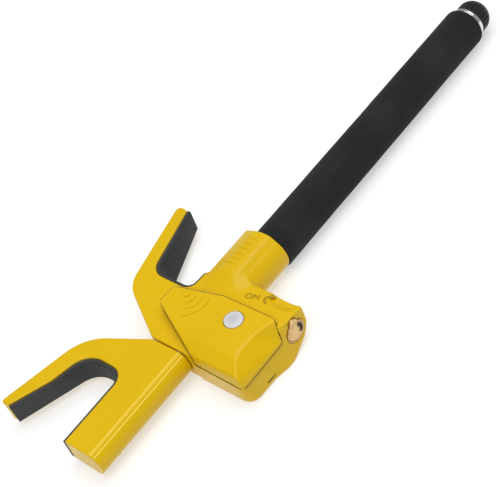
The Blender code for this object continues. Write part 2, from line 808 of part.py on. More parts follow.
# ---------------------------------------------------------------- alarm and fasteners

def alarm_button():
    """Round push button with a flange under the cover."""
    profile = [(19.6, 0.0), (19.6, 9.4), (21.1, 9.4), (21.1, BUTTON_R), (23.9, BUTTON_R)]
    profile += [(24.5, BUTTON_R - 0.7), (24.9, 4.0), (25.0, 0.0)]
    return turned(profile, "Z", (BUTTON_X, BUTTON_Y), 32)


def circuit_board():
    """Board on the pocket's ledge."""
    return prism(pocket_outline(0.4), BOARD_Z, BOARD_Z + 1.6)


def board_switch():
    """Switch and riser under the button."""
    profile = [(BOARD_Z + 1.9, 0.0), (BOARD_Z + 1.9, 4.5), (4.0, 4.5), (4.0, 3.0), (18.3, 3.0), (18.3, 0.0)]
    return turned(profile, "Z", (BUTTON_X, BUTTON_Y), 20)


def siren():
    """Round sounder above the door's slots."""
    profile = [(-14.6, 0.0), (-14.6, 9.2), (-6.5, 9.2), (-6.0, 8.6), (-6.0, 0.0)]
    return turned(profile, "Z", (12.0, -54.0), 28)


def battery(y):
    """Small round cell with its raised end."""
    profile = [(-0.5, 0.0), (-0.5, 5.1), (27.5, 5.1), (27.5, 2.0), (28.5, 2.0), (28.5, 0.0)]
    return turned(profile, "X", (y, -9.5), 24)


def screw(place, low, head_r, head_h, shank_r, length):
    """Screw driven upward, with its head at the bottom and a cross-shaped recess."""
    top = low + length
    profile = [(low, 0.0), (low, head_r), (low + head_h, head_r), (low + head_h, shank_r)]
    profile += [(top - 0.8, shank_r), (top, shank_r - 0.5), (top, 0.0)]
    body = turned(profile, "Z", place, 16)
    arm = head_r * 0.6
    slots = []
    for wide, deep in ((arm, 0.35), (0.35, arm)):
        low_corner = (place[0] - wide, place[1] - deep, low - 1)
        high_corner = (place[0] + wide, place[1] + deep, low + head_h * 0.5)
        slots.append(box(low_corner, high_corner))
    return minus(body, *slots)


def build():
    """Make every piece."""
    make("head_housing", housing(), YELLOW)
    make("alarm_cover", alarm_cover(), YELLOW)
    make("battery_door", battery_door(), YELLOW)
    make("fixed_hook_core", hook_core(FIXED_CORE, FIXED_HOOK_SCREWS), STEEL)
    make("fixed_hook_liner", hook_liner(FIXED_MOUTH, 11.6), RUBBER)
    make("guide_bush", guide_bush(), BRASS)
    make("steel_tube", steel_tube(), STEEL)
    make("stop_sleeve", tube(STOP_X, STOP_X + 4, ROD_R + GAP, TUBE_BORE - GAP, segments=24), BRASS)
    make("foam_grip", foam_grip(), FOAM)
    make("chrome_ring", chrome_ring(), CHROME)
    make("end_cap", end_cap(), BLACK)
    make("lock_barrel", lock_barrel(), BRASS)
    make("circuit_board", circuit_board(), BOARD)
    make("board_switch", board_switch(), BLACK)
    make("siren", siren(), BLACK)
    for number, y in enumerate((-27.0, -38.5), start=1):
        make(f"battery_{number}", battery(y), CELL)
    for number, place in enumerate(FIXED_HOOK_SCREWS, start=1):
        make(f"hook_screw_{number}", screw(place, -11.9, 2.8, 2.2, 1.4, 14.0), STEEL)
    for number, place in enumerate(COVER_SCREWS, start=1):
        make(f"cover_screw_{number}", screw(place, -17.0, 2.8, 2.3, 1.3, 29.0), STEEL)
    make("door_screw", screw(DOOR_SCREW, -18.8, 2.2, 0.8, 1.0, 4.4), STEEL)

    jaw_origin = (JAW_FACE, 0.0, 0.0)
    make("jaw_shell", jaw_shell(), YELLOW, jaw_origin)
    make("jaw_core", hook_core(SLIDING_CORE, JAW_SCREWS), STEEL, jaw_origin)
    make("jaw_liner", hook_liner(SLIDING_MOUTH, 10.8), RUBBER, jaw_origin)
    make("notched_rod", notched_rod(), STEEL, jaw_origin)
    make("jaw_pin", rod(-11.2, 12.0, 2.5, "Y", (-40.0, 0.0), 16), STEEL, jaw_origin)
    make("rod_stop_ring", tube(262.3, 267.7, 7.3, TUBE_BORE - 0.4, segments=24), BRASS, jaw_origin)
    for number, place in enumerate(JAW_SCREWS, start=1):
        make(f"jaw_screw_{number}", screw(place, -11.9, 2.8, 2.2, 1.4, 14.0), STEEL, jaw_origin)

    lock_origin = (LOCK_X, LOCK_FACE, LOCK_Z)
    make("lock_plug", lock_plug(), BRASS, lock_origin)
    make("lock_pawl", lock_pawl(), STEEL, (LOCK_X, CAM_BASE, LOCK_Z))
    make("alarm_button", alarm_button(), LENS, (BUTTON_X, BUTTON_Y, 21.1))


for item in list(bpy.data.objects):
    bpy.data.objects.remove(item)
build()
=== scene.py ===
"""Looks of a double-hook steering-wheel lock with an alarm head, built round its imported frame.

Lengths are millimetres measured from the bar's axis: +X runs from the sliding hook to the end cap,
+Y points to the arms of the hooks and +Z is up. A finished mesh is in metres above the floor.
"""

from __future__ import annotations

import json
import logging
import math
from dataclasses import dataclass, field
from enum import Enum
from typing import Callable, Sequence

import bpy
import numpy as np
from mathutils import Matrix, Vector

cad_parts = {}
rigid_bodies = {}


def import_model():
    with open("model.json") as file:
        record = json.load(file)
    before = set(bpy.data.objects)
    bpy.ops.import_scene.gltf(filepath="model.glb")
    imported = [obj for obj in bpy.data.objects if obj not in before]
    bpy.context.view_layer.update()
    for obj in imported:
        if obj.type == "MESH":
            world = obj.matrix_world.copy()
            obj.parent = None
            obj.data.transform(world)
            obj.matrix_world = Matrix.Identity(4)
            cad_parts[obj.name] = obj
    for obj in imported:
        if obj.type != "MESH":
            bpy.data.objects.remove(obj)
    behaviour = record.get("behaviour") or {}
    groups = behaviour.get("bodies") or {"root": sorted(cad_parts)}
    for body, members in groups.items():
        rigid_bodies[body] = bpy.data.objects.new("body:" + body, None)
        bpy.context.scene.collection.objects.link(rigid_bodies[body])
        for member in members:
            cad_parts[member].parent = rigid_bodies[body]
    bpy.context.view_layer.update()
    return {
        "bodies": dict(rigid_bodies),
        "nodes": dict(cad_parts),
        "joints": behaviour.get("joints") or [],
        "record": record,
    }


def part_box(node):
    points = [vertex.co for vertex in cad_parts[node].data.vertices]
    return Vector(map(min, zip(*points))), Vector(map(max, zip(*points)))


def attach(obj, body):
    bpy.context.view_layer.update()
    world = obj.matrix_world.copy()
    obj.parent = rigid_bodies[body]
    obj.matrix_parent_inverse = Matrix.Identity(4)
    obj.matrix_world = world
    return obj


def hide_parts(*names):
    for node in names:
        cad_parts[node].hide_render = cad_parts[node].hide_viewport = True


LOG = logging.getLogger("wheel_lock")

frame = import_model()

MM = 0.001
AXIS_HEIGHT = 19.0
LEAST_RADIUS = 0.02

Array = np.ndarray
Item = bpy.types.Object
Material = bpy.types.Material
Reach = Callable[[Array, Array, Array], Array]
Point2 = tuple[float, float]
Point3 = tuple[float, float, float]
Corner = tuple[float, float, float]


class Axis(Enum):
    """Direction of an extrusion or a turned form."""

    X = 0
    Y = 1
    Z = 2


class Body(Enum):
    """Bodies of the frame that the pieces ride on."""

    HEAD = "head"
    HOOK = "hook"
    PLUG = "plug"
    BUTTON = "button"


# ---------------------------------------------------------------- outlines


def corner_arc(
    before: Point2, here: Point2, after: Point2, radius: float, step: float
) -> Array:
    """Round one corner with the arc that touches both of its sides.

    The centre lies on the corner's bisector, radius / sin(half angle) away, and the arc turns from
    one tangent point to the other.

    Args:
        before: Corner before this one.
        here: The corner.
        after: Corner after this one.
        radius: Radius of the arc.
        step: Largest turn between two points, in degrees.

    Returns:
        Points of the arc, one row each.
    """
    point = np.array(here)
    back = (np.array(before) - point) / np.linalg.norm(np.array(before) - point)
    ahead = (np.array(after) - point) / np.linalg.norm(np.array(after) - point)
    half = 0.5 * math.acos(float(np.clip(back @ ahead, -1.0, 1.0)))
    bisector = (back + ahead) / np.linalg.norm(back + ahead)
    centre = point + bisector * radius / math.sin(half)
    first = point + back * radius / math.tan(half) - centre
    last = point + ahead * radius / math.tan(half) - centre
    start = math.atan2(first[1], first[0])
    turn = math.atan2(first[0] * last[1] - first[1] * last[0], first @ last)
    count = max(3, math.ceil(abs(math.degrees(turn)) / step) + 1)
    angle = start + np.linspace(0.0, turn, count)
    return centre + radius * np.stack([np.cos(angle), np.sin(angle)], 1)


def rounded(corners: Sequence[Corner], closed: bool = True, step: float = 5.0) -> Array:
    """Outline through corners given as two coordinates and a radius.

    Args:
        corners: Corners in order.
        closed: Whether the last corner joins the first.
        step: Largest turn between two points of an arc, in degrees.

    Returns:
        Points of the outline, one row each.
    """
    parts = []
    count = len(corners)
    for index, (a, b, radius) in enumerate(corners):
        if radius <= 0.0 or (not closed and index in (0, count - 1)):
            parts.append(np.array([(a, b)]))
            continue
        before, after = corners[index - 1][:2], corners[(index + 1) % count][:2]
        parts.append(corner_arc(before, (a, b), after, radius, step))
    return np.concatenate(parts)


def shifted(corners: Sequence[Corner], distance: float) -> list[Corner]:
    """Move an open path of corners to its left and change its radii to suit.

    Args:
        corners: Corners of the path, as two coordinates and a radius.
        distance: How far the path moves to its left.

    Returns:
        Corners of the moved path.
    """
    points = np.array([corner[:2] for corner in corners])
    run = np.diff(points, axis=0)
    run /= np.linalg.norm(run, axis=1, keepdims=True)
    into = np.vstack([run[:1], run])
    out = np.vstack([run, run[-1:]])
    left_in = np.stack([-into[:, 1], into[:, 0]], 1)
    left_out = np.stack([-out[:, 1], out[:, 0]], 1)
    share = 1.0 + np.sum(left_in * left_out, axis=1, keepdims=True)
    moved = points + (left_in + left_out) / share * distance
    turn = into[:, 0] * out[:, 1] - into[:, 1] * out[:, 0]
    result = []
    for (a, b), bend, corner in zip(moved, turn, corners):
        change = -distance if bend > 0 else distance
        radius = max(corner[2] + change, 0.4) if corner[2] else 0.0
        result.append((float(a), float(b), radius))
    return result


def band(path: Sequence[Corner], inner: float, outer: float) -> Array:
    """Closed outline between two offsets of a path.

    Args:
        path: Corners of the path.
        inner: Offset of one side.
        outer: Offset of the other side.

    Returns:
        Points of the outline.
    """
    near = rounded(shifted(path, inner), closed=False)
    far = rounded(shifted(path, outer), closed=False)
    return np.concatenate([near, far[::-1]])


def arc(centre: Point2, radius: float, start: float, end: float, count: int) -> Array:
    """Points on an arc between two angles in degrees."""
    angle = np.radians(np.linspace(start, end, count))
    return np.array(centre) + radius * np.stack([np.cos(angle), np.sin(angle)], 1)


def outline_distance(outline: Array, a: Array, b: Array) -> Array:
    """Signed distance from points to a closed outline: that of its nearest side, negative within.

    A point is within where a ray from it crosses an odd number of sides.

    Args:
        outline: Corners of the outline.
        a: First coordinate of the points.
        b: Second coordinate of the points.

    Returns:
        Distances, in the shape that a and b broadcast to.
    """
    nearest = np.full(np.broadcast_shapes(a.shape, b.shape), np.inf)
    within = np.zeros(nearest.shape, bool)
    for (a0, b0), (a1, b1) in zip(outline, np.roll(outline, -1, axis=0)):
        side_a, side_b = a1 - a0, b1 - b0
        length = side_a * side_a + side_b * side_b
        if length < 1e-12:
            continue
        along = np.clip(((a - a0) * side_a + (b - b0) * side_b) / length, 0.0, 1.0)
        gap = (a - a0 - along * side_a) ** 2 + (b - b0 - along * side_b) ** 2
        np.minimum(nearest, gap, out=nearest)
        if b0 != b1:
            crosses = (b0 <= b) != (b1 <= b)
            within ^= crosses & (a < a0 + (b - b0) * side_a / side_b)
    return np.where(within, -1.0, 1.0) * np.sqrt(nearest)


# ---------------------------------------------------------------- solids


@dataclass(frozen=True)
class Solid:
    """A closed form given by its distance, which is negative inside and positive outside.

    Attributes:
        reach: Function of x, y and z arrays that returns the distance in millimetres.
    """

    reach: Reach

    @staticmethod
    def _softer(low: Array, other: Array, soft: float) -> Array:
        """Smaller of two distances, with the valley between them filled over a width.

        Args:
            low: One of the distances.
            other: The other one.
            soft: Width of the blend.

        Returns:
            The blended distance.
        """
        if soft <= 0.0:
            return np.minimum(low, other)
        share = np.clip(0.5 + 0.5 * (other - low) / soft, 0.0, 1.0)
        return other + (low - other) * share - soft * share * (1.0 - share)

    def join(self, other: Solid, soft: float = 0.0) -> Solid:
        """Both solids as one, with a fillet of about that size where they meet."""
        first, second = self.reach, other.reach
        return Solid(lambda x, y, z: self._softer(first(x, y, z), second(x, y, z), soft))

    def keep(self, other: Solid, soft: float = 0.0) -> Solid:
        """What both solids hold, with edges rounded by about that size."""
        first, second = self.reach, other.reach
        return Solid(lambda x, y, z: -self._softer(-first(x, y, z), -second(x, y, z), soft))

    def cut(self, other: Solid, soft: float = 0.0) -> Solid:
        """This solid without the other, with edges rounded by about that size."""
        first, second = self.reach, other.reach
        return Solid(lambda x, y, z: -self._softer(-first(x, y, z), second(x, y, z), soft))


def behind(point: Point3, second: Point3, third: Point3, outside: Point3) -> Solid:
    """Half space under the plane of three points, on the side away from a fourth.

    Args:
        point: First point of the plane.
        second: Second point of the plane.
        third: Third point of the plane.
        outside: Any point that isn't in the solid.

    Returns:
        The half space.
    """
    first = np.array(point)
    normal = np.cross(np.array(second) - first, np.array(third) - first)
    normal /= np.linalg.norm(normal)
    if normal @ (np.array(outside) - first) < 0:
        normal = -normal
    rest = float(normal @ first)
    return Solid(lambda x, y, z: x * normal[0] + y * normal[1] + z * normal[2] - rest)


def wall(axis: Axis, place: float, side: int) -> Solid:
    """Half space that ends at a plane across an axis; side is 1 for the part below it."""
    return Solid(lambda x, y, z: side * ((x, y, z)[axis.value] - place))


def plate(
    outline: Array, low: float, high: float, axis: Axis = Axis.Z, rim: float = 0.0
) -> Solid:
    """Outline carried along an axis, with both of its rims rounded.

    The distance to a rounded box is taken in the plane of the outline's own distance and the
    height: the longer of the two inside, and the straight line to the corner outside.

    Args:
        outline: Closed outline; Axis.X takes (y, z) points and Axis.Y takes (x, z) points.
        low: Start along the axis.
        high: End along the axis.
        axis: Direction of the extrusion.
        rim: Radius of the rims.

    Returns:
        The solid.
    """
    middle, half = (low + high) / 2.0, (high - low) / 2.0

    def reach(x: Array, y: Array, z: Array) -> Array:
        """Distance to the extruded outline.

        Args:
            x: Places along the bar.
            y: Places across it.
            z: Heights.

        Returns:
            The distances.
        """
        pick = {Axis.X: (y, z, x), Axis.Y: (x, z, y), Axis.Z: (x, y, z)}[axis]
        flat = outline_distance(outline, pick[0], pick[1]) + rim
        tall = np.abs(pick[2] - middle) - half + rim
        inner = np.minimum(np.maximum(flat, tall), 0.0)
        outer = np.hypot(np.maximum(flat, 0.0), np.maximum(tall, 0.0))
        return inner + outer - rim

    return Solid(reach)


def bar(axis: Axis, centre: Point2, radius: float, low: float, high: float) -> Solid:
    """Round bar along an axis, given by its centre in the other two coordinates.

    Args:
        axis: Axis that it lies along.
        centre: Its centre in the other two coordinates.
        radius: Its radius.
        low: Its start along the axis.
        high: Its end along the axis.

    Returns:
        The bar.
    """

    def reach(x: Array, y: Array, z: Array) -> Array:
        """Longer of the distances to the round side and to the ends.

        Args:
            x: Places along the bar.
            y: Places across it.
            z: Heights.

        Returns:
            The distances.
        """
        pick = {Axis.X: (y, z, x), Axis.Y: (x, z, y), Axis.Z: (x, y, z)}[axis]
        side = np.hypot(pick[0] - centre[0], pick[1] - centre[1]) - radius
        return np.maximum(side, np.abs(pick[2] - (low + high) / 2.0) - (high - low) / 2.0)

    return Solid(reach)


def block(low: Point3, high: Point3, rim: float = 0.0) -> Solid:
    """Box between two corners, with its edges rounded.

    Args:
        low: Lowest corner.
        high: Highest corner.
        rim: Radius of its edges.

    Returns:
        The box.
    """

    def reach(x: Array, y: Array, z: Array) -> Array:
        """Distance to a rounded box.

        Args:
            x: Places along the bar.
            y: Places across it.
            z: Heights.

        Returns:
            The distances.
        """
        gaps = [
            np.abs(value - (a + b) / 2.0) - (b - a) / 2.0 + rim
            for value, a, b in zip((x, y, z), low, high)
        ]
        inner = np.minimum(np.maximum(np.maximum(gaps[0], gaps[1]), gaps[2]), 0.0)
        outer = np.sqrt(sum(np.maximum(gap, 0.0) ** 2 for gap in gaps))
        return inner + outer - rim

    return Solid(reach)


def egg(centre: Point3, half: Point3) -> Solid:
    """Ellipsoid with its half lengths; the distance is scaled by the shortest of them.

    Args:
        centre: Its centre.
        half: Half of its length along each axis.

    Returns:
        The ellipsoid.
    """

    def reach(x: Array, y: Array, z: Array) -> Array:
        """Scaled distance to the ellipsoid."""
        terms = [((v - c) / h) ** 2 for v, c, h in zip((x, y, z), centre, half)]
        return (np.sqrt(sum(terms)) - 1.0) * min(half)

    return Solid(reach)


# ---------------------------------------------------------------- meshes

CELL_CORNERS = np.array([(i, j, k) for i in (0, 1) for j in (0, 1) for k in (0, 1)])
CELL_EDGES = [
    (a, b)
    for a in range(8)
    for b in range(a + 1, 8)
    if np.abs(CELL_CORNERS[a] - CELL_CORNERS[b]).sum() == 1
]


def settle(solid: Solid, points: Array, cell: float, rounds: int = 3) -> Array:
    """Move points onto a solid's surface, down the slope of its distance.

    Each round moves a point by distance x slope / slope squared, and never by more than 0.4 cells.

    Args:
        solid: The solid.
        points: Points close to its surface.
        cell: Size of the cells they came from.
        rounds: Number of rounds.

    Returns:
        The moved points.
    """
    small = 0.02
    for _ in range(rounds):
        here = solid.reach(*points.T)
        slope = np.empty_like(points)
        for axis in range(3):
            nudge = np.zeros(3)
            nudge[axis] = small
            slope[:, axis] = (solid.reach(*(points + nudge).T) - here) / small
        steep = np.maximum(np.sum(slope * slope, axis=1), 0.05)
        move = -(here / steep)[:, None] * slope
        length = np.linalg.norm(move, axis=1, keepdims=True)
        points = points + move * np.minimum(1.0, 0.4 * cell / np.maximum(length, 1e-9))
    return points


def skin(solid: Solid, low: Point3, high: Point3, cell: float) -> tuple[Array, Array]:
    """Closed mesh of a solid's surface.

    The distance is worked out on a grid. Each cell that the surface passes through gets one point,
    the mean of where the surface crosses the cell's edges, and each grid edge that the surface
    crosses gets the quad of the four cells round it, turned to face outwards.

    Args:
        solid: The solid.
        low: Lowest corner of the grid.
        high: Highest corner of the grid.
        cell: Size of a cell.

    Returns:
        Points and quads.
    """
    ticks = [np.arange(a, b + cell, cell) for a, b in zip(low, high)]
    shape = tuple(len(tick) for tick in ticks)
    x, y, z = ticks[0][:, None, None], ticks[1][None, :, None], ticks[2][None, None, :]
    value = np.broadcast_to(solid.reach(x, y, z), shape)
    inside = value < 0.0
    count = np.zeros(tuple(n - 1 for n in shape), int)
    for i, j, k in CELL_CORNERS:
        count += inside[i : shape[0] - 1 + i, j : shape[1] - 1 + j, k : shape[2] - 1 + k]
    active = (count > 0) & (count < 8)
    cells = np.argwhere(active)
    index = np.full(active.shape, -1)
    index[active] = np.arange(len(cells))
    at = np.stack([value[tuple((cells + corner).T)] for corner in CELL_CORNERS], 1)
    total = np.zeros((len(cells), 3))
    crossed = np.zeros(len(cells))
    for a, b in CELL_EDGES:
        hit = (at[:, a] < 0) != (at[:, b] < 0)
        share = at[hit, a] / (at[hit, a] - at[hit, b])
        total[hit] += CELL_CORNERS[a] + share[:, None] * (CELL_CORNERS[b] - CELL_CORNERS[a])
        crossed[hit] += 1
    points = (cells + total / crossed[:, None]) * cell + np.array(low)
    quads = []
    for axis in range(3):
        b, c = (axis + 1) % 3, (axis + 2) % 3
        first = np.take(inside, range(shape[axis] - 1), axis)
        second = np.take(inside, range(1, shape[axis]), axis)
        edges = np.argwhere(first != second)
        fits = (edges[:, b] > 0) & (edges[:, c] > 0)
        fits &= (edges[:, b] < shape[b] - 1) & (edges[:, c] < shape[c] - 1)
        edges = edges[fits]
        ring = []
        for step_b, step_c in ((-1, -1), (0, -1), (0, 0), (-1, 0)):
            near = edges.copy()
            near[:, b] += step_b
            near[:, c] += step_c
            ring.append(index[tuple(near.T)])
        quad = np.stack(ring, 1)
        outward = first[tuple(edges.T)]
        quads.append(np.where(outward[:, None], quad, quad[:, ::-1]))
    return settle(solid, points, cell), np.concatenate(quads)


def new_piece(name: str, points: Array, faces: Array | list, sharp: float = 0.0) -> Item:
    """Object at the origin from points in millimetres, with no point under the floor.

    Args:
        name: Name of the piece.
        points: Points, one row each.
        faces: Equal faces as an array, or a list of faces of any size.
        sharp: Angle in degrees above which an edge is sharp; zero keeps all edges smooth.

    Returns:
        The new object.
    """
    mesh = bpy.data.meshes.new(name)
    placed = (points + np.array([0.0, 0.0, AXIS_HEIGHT])) * MM
    placed[:, 2] = np.maximum(placed[:, 2], 0.0)
    if isinstance(faces, Array):
        size = faces.shape[1]
        mesh.vertices.add(len(placed))
        mesh.vertices.foreach_set("co", placed.astype(np.float32).ravel())
        mesh.loops.add(faces.size)
        mesh.loops.foreach_set("vertex_index", faces.astype(np.int32).ravel())
        mesh.polygons.add(len(faces))
        mesh.polygons.foreach_set("loop_start", np.arange(0, faces.size, size, dtype=np.int32))
        mesh.update(calc_edges=True)
    else:
        mesh.from_pydata(placed.tolist(), [], faces)
    mesh.validate()
    mesh.shade_smooth()
    if sharp:
        mesh.set_sharp_from_angle(angle=math.radians(sharp))
    item = bpy.data.objects.new(name, mesh)
    bpy.context.scene.collection.objects.link(item)
    return item


def moulded(name: str, solid: Solid, low: Point3, high: Point3, cell: float) -> Item:
    """Args:
        name: Name of the piece.
        solid: The solid.
        low: Lowest corner of the space that is searched.
        high: Highest corner of that space.
        cell: Size of a cell.

    Returns:
        The piece.
    """
    size = cell
    points, quads = skin(solid, low, high, size)
    return new_piece(name, points, quads)


def tube_of(rings: Array, name: str, looped: bool = False, sharp: float = 0.0) -> Item:
    """Piece from a grid of points whose rows are closed rings.

    Neighbouring rings are joined by quads. The first and last ring are closed by a face each, or
    are joined to each other.

    Args:
        rings: Array of ring, point and coordinate, each ring turning right-handed along the rows.
        name: Name of the piece.
        looped: Whether the last ring joins the first.
        sharp: Angle in degrees above which an edge is sharp.

    Returns:
        The new object.
    """
    rows, count = rings.shape[:2]
    grid = np.arange(rows * count).reshape(rows, count)
    near = grid if looped else grid[:-1]
    far = np.roll(grid, -1, axis=0) if looped else grid[1:]
    quads = np.stack([near, np.roll(near, -1, axis=1), np.roll(far, -1, axis=1), far], -1)
    faces = quads.reshape(-1, 4).tolist()
    if not looped:
        faces += [grid[0, ::-1].tolist(), grid[-1].tolist()]
    return new_piece(name, rings.reshape(-1, 3), faces, sharp)


def turned(
    name: str,
    profile: Array,
    axis: Axis,
    centre: Point2 = (0.0, 0.0),
    segments: int = 96,
    looped: bool = False,
    depth: Callable[[Array, Array], Array] | None = None,
    sharp: float = 28.0,
) -> Item:
    """Piece turned round an axis: each profile point (along, radius) becomes a ring.

    A ring's point at angle t lies at centre + radius x (cos t, sin t) in the plane across the axis.

    Args:
        name: Name of the piece.
        profile: Rows of distance along the axis and radius.
        axis: The axis.
        centre: Place of the axis in the other two coordinates.
        segments: Points in a ring.
        looped: Whether the profile closes on itself, as for a sleeve.
        depth: Function of distance along and angle that is taken from the radius.
        sharp: Angle in degrees above which an edge is sharp.

    Returns:
        The new object.
    """
    along, radius = profile[:, :1], np.maximum(profile[:, 1:2], LEAST_RADIUS)
    angle = np.linspace(0.0, 2.0 * math.pi, segments, endpoint=False)[None, :]
    if depth is not None:
        radius = radius - depth(along, angle)
    a = centre[0] + radius * np.cos(angle)
    b = centre[1] + radius * np.sin(angle)
    along = np.broadcast_to(along, a.shape)
    order = {Axis.X: (along, a, b), Axis.Y: (a, along, b), Axis.Z: (a, b, along)}[axis]
    rings = np.stack(order, -1)
    if axis is Axis.Y:
        rings = rings[:, ::-1]
    return tube_of(rings, name, looped, sharp)


def fillet_profile(corners: Sequence[Corner], closed: bool = False, step: float = 15.0) -> Array:
    """Profile of a turned piece through corners given as distance along, radius and fillet."""
    return rounded(corners, closed=closed, step=step)


# ---------------------------------------------------------------- shader maths


class Wire:
    """Output socket of a node that can be used in sums, products and quotients."""

    def __init__(self, graph: Graph, socket: bpy.types.NodeSocket) -> None:
        """Keep the graph and the socket."""
        self.graph = graph
        self.socket = socket

    def _math(self, operation: str, other: Wire | float, flipped: bool = False) -> Wire:
        """Math node on this value and another, in the order asked for."""
        pair = (other, self) if flipped else (self, other)
        return self.graph.node("ShaderNodeMath", {"operation": operation}, {0: pair[0], 1: pair[1]})

    def __add__(self, other: Wire | float) -> Wire:
        """Sum."""
        return self._math("ADD", other)

    def __radd__(self, other: float) -> Wire:
        """Sum with a number on the left."""
        return self._math("ADD", other, flipped=True)

    def __sub__(self, other: Wire | float) -> Wire:
        """Difference."""
        return self._math("SUBTRACT", other)

    def __rsub__(self, other: float) -> Wire:
        """Difference with a number on the left."""
        return self._math("SUBTRACT", other, flipped=True)

    def __mul__(self, other: Wire | float) -> Wire:
        """Product."""
        return self._math("MULTIPLY", other)

    def ramp(self, low: float, high: float) -> Wire:
        """Smooth step from 0 at low to 1 at high."""
        settings = {"interpolation_type": "SMOOTHSTEP", "clamp": True}
        return self.graph.node("ShaderNodeMapRange", settings, {0: self, 1: low, 2: high})


class Graph:
    """Node tree of one material, with a Principled shader."""

    def __init__(self, name: str) -> None:
        """Make the material.

        Args:
            name: Name of the material.
        """
        self.material = bpy.data.materials.new(name)
        self.material.use_nodes = True
        self.tree = self.material.node_tree
        self.shader = self.tree.nodes["Principled BSDF"]
        self.place = self.node("ShaderNodeTexCoord", output="Object")

    def node(
        self,
        kind: str,
        settings: dict | None = None,
        sockets: dict | None = None,
        output: int | str = 0,
    ) -> Wire:
        """Add a node.

        Args:
            kind: Type of the node.
            settings: Its properties.
            sockets: Values or wires for its inputs, by name or number.
            output: Output to return, by name or number.

        Returns:
            The output as a wire.
        """
        made = self.tree.nodes.new(kind)
        for key, value in (settings or {}).items():
            setattr(made, key, value)
        for key, value in (sockets or {}).items():
            if isinstance(value, Wire):
                self.tree.links.new(value.socket, made.inputs[key])
            else:
                made.inputs[key].default_value = value
        return Wire(self, made.outputs[output])

    def stretched(self, scale: Point3, centre: Point3 = (0.0, 0.0, 0.0)) -> Wire:
        """Object coordinates moved to a centre and scaled along each axis.

        Args:
            scale: Scale along each axis.
            centre: Point that becomes the origin.

        Returns:
            The new coordinates.
        """
        moved = self.node(
            "ShaderNodeVectorMath", {"operation": "SUBTRACT"}, {0: self.place, 1: centre}
        )
        return self.node("ShaderNodeVectorMath", {"operation": "MULTIPLY"}, {0: moved, 1: scale})

    def noise(self, scale: float, detail: float = 2.0, vector: Wire | None = None) -> Wire:
        """Noise from 0 to 1, with its scale in features a metre."""
        sockets = {"Vector": vector or self.place, "Scale": scale, "Detail": detail}
        return self.node("ShaderNodeTexNoise", None, sockets)

    def cells(self, scale: float) -> Wire:
        """Distance to the nearest of scattered points, from 0 at each point."""
        return self.node("ShaderNodeTexVoronoi", None, {"Vector": self.place, "Scale": scale})

    def blend(self, share: Wire, first: Sequence[float], second: Sequence[float]) -> Wire:
        """Colour between two colours."""
        sockets = {0: share, 6: (*first, 1.0), 7: (*second, 1.0)}
        return self.node("ShaderNodeMix", {"data_type": "RGBA"}, sockets, output=2)

    def set(self, **values: Wire | float | Sequence[float]) -> None:
        """Set or link inputs of the shader, with spaces in their names written as underscores."""
        for key, value in values.items():
            socket = self.shader.inputs[key.replace("_", " ")]
            if isinstance(value, Wire):
                self.tree.links.new(value.socket, socket)
            else:
                socket.default_value = value

    def relief(self, height: Wire, distance: float, strength: float = 1.0) -> None:
        """Bump the surface by a height between 0 and 1 times a distance in metres."""
        sockets = {"Height": height, "Distance": distance, "Strength": strength}
        self.set(Normal=self.node("ShaderNodeBump", None, sockets))


# ---------------------------------------------------------------- finishes


@dataclass(frozen=True)
class Plastic:
    """Moulded plastic.

    Attributes:
        name: Name of the material.
        light: Colour of its lighter parts.
        dark: Colour of its darker parts.
        roughness: Mean roughness.
        grain: Size of the surface grain, in features a metre.
        depth: Depth of the grain in metres.
    """

    name: str
    light: Point3
    dark: Point3
    roughness: float
    grain: float = 900.0
    depth: float = 0.00002

    def material(self) -> Material:
        """Cloudy tone, faint flow marks and rubbed patches over a fine grain.

        Returns:
            The material.
        """
        graph = Graph(self.name)
        cloud = graph.noise(16.0, 3.0)
        rubbed = graph.noise(70.0, 4.0).ramp(0.45, 0.75)
        fine = graph.noise(self.grain, 2.0)
        graph.set(
            Base_Color=graph.blend(cloud.ramp(0.3, 0.7), self.dark, self.light),
            Roughness=self.roughness + rubbed * 0.07 + (fine - 0.5) * 0.05,
            Specular_IOR_Level=0.22,
        )
        graph.relief(fine + cloud * 0.4, self.depth)
        return graph.material


@dataclass(frozen=True)
class Rubber:
    """Matt rubber with a pebbled skin and paler dust in its hollows."""

    name: str
    light: Point3
    dark: Point3
    roughness: float = 0.72

    def material(self) -> Material:
        """Pebbles from scattered cells, with broad dusty patches.

        Returns:
            The material.
        """
        graph = Graph(self.name)
        pebble = graph.cells(1400.0).ramp(0.1, 0.75)
        dust = graph.noise(28.0, 4.0).ramp(0.4, 0.75)
        graph.set(
            Base_Color=graph.blend(dust * 0.7 + pebble * 0.3, self.dark, self.light),
            Roughness=self.roughness + dust * 0.1 - pebble * 0.05,
            Specular_IOR_Level=0.35,
        )
        graph.relief(1.0 - pebble, 0.00006)
        return graph.material


@dataclass(frozen=True)
class Foam:
    """Closed-cell foam: small pores, and a skin that is rubbed paler in places."""

    name: str
    light: Point3
    dark: Point3

    def material(self) -> Material:
        """Two sizes of pores over a slow change of tone.

        Returns:
            The material.
        """
        graph = Graph(self.name)
        pores = graph.cells(2300.0).ramp(0.05, 0.6)
        coarse = graph.cells(700.0).ramp(0.0, 0.5)
        worn = graph.noise(24.0, 5.0).ramp(0.35, 0.75)
        graph.set(
            Base_Color=graph.blend(worn * 0.6 + pores * 0.4, self.dark, self.light),
            Roughness=0.96 - worn * 0.06,
            Specular_IOR_Level=0.18,
            Sheen_Weight=0.02,
            Sheen_Roughness=0.6,
        )
        graph.relief(pores * 0.6 + coarse * 0.4, 0.00012)
        return graph.material


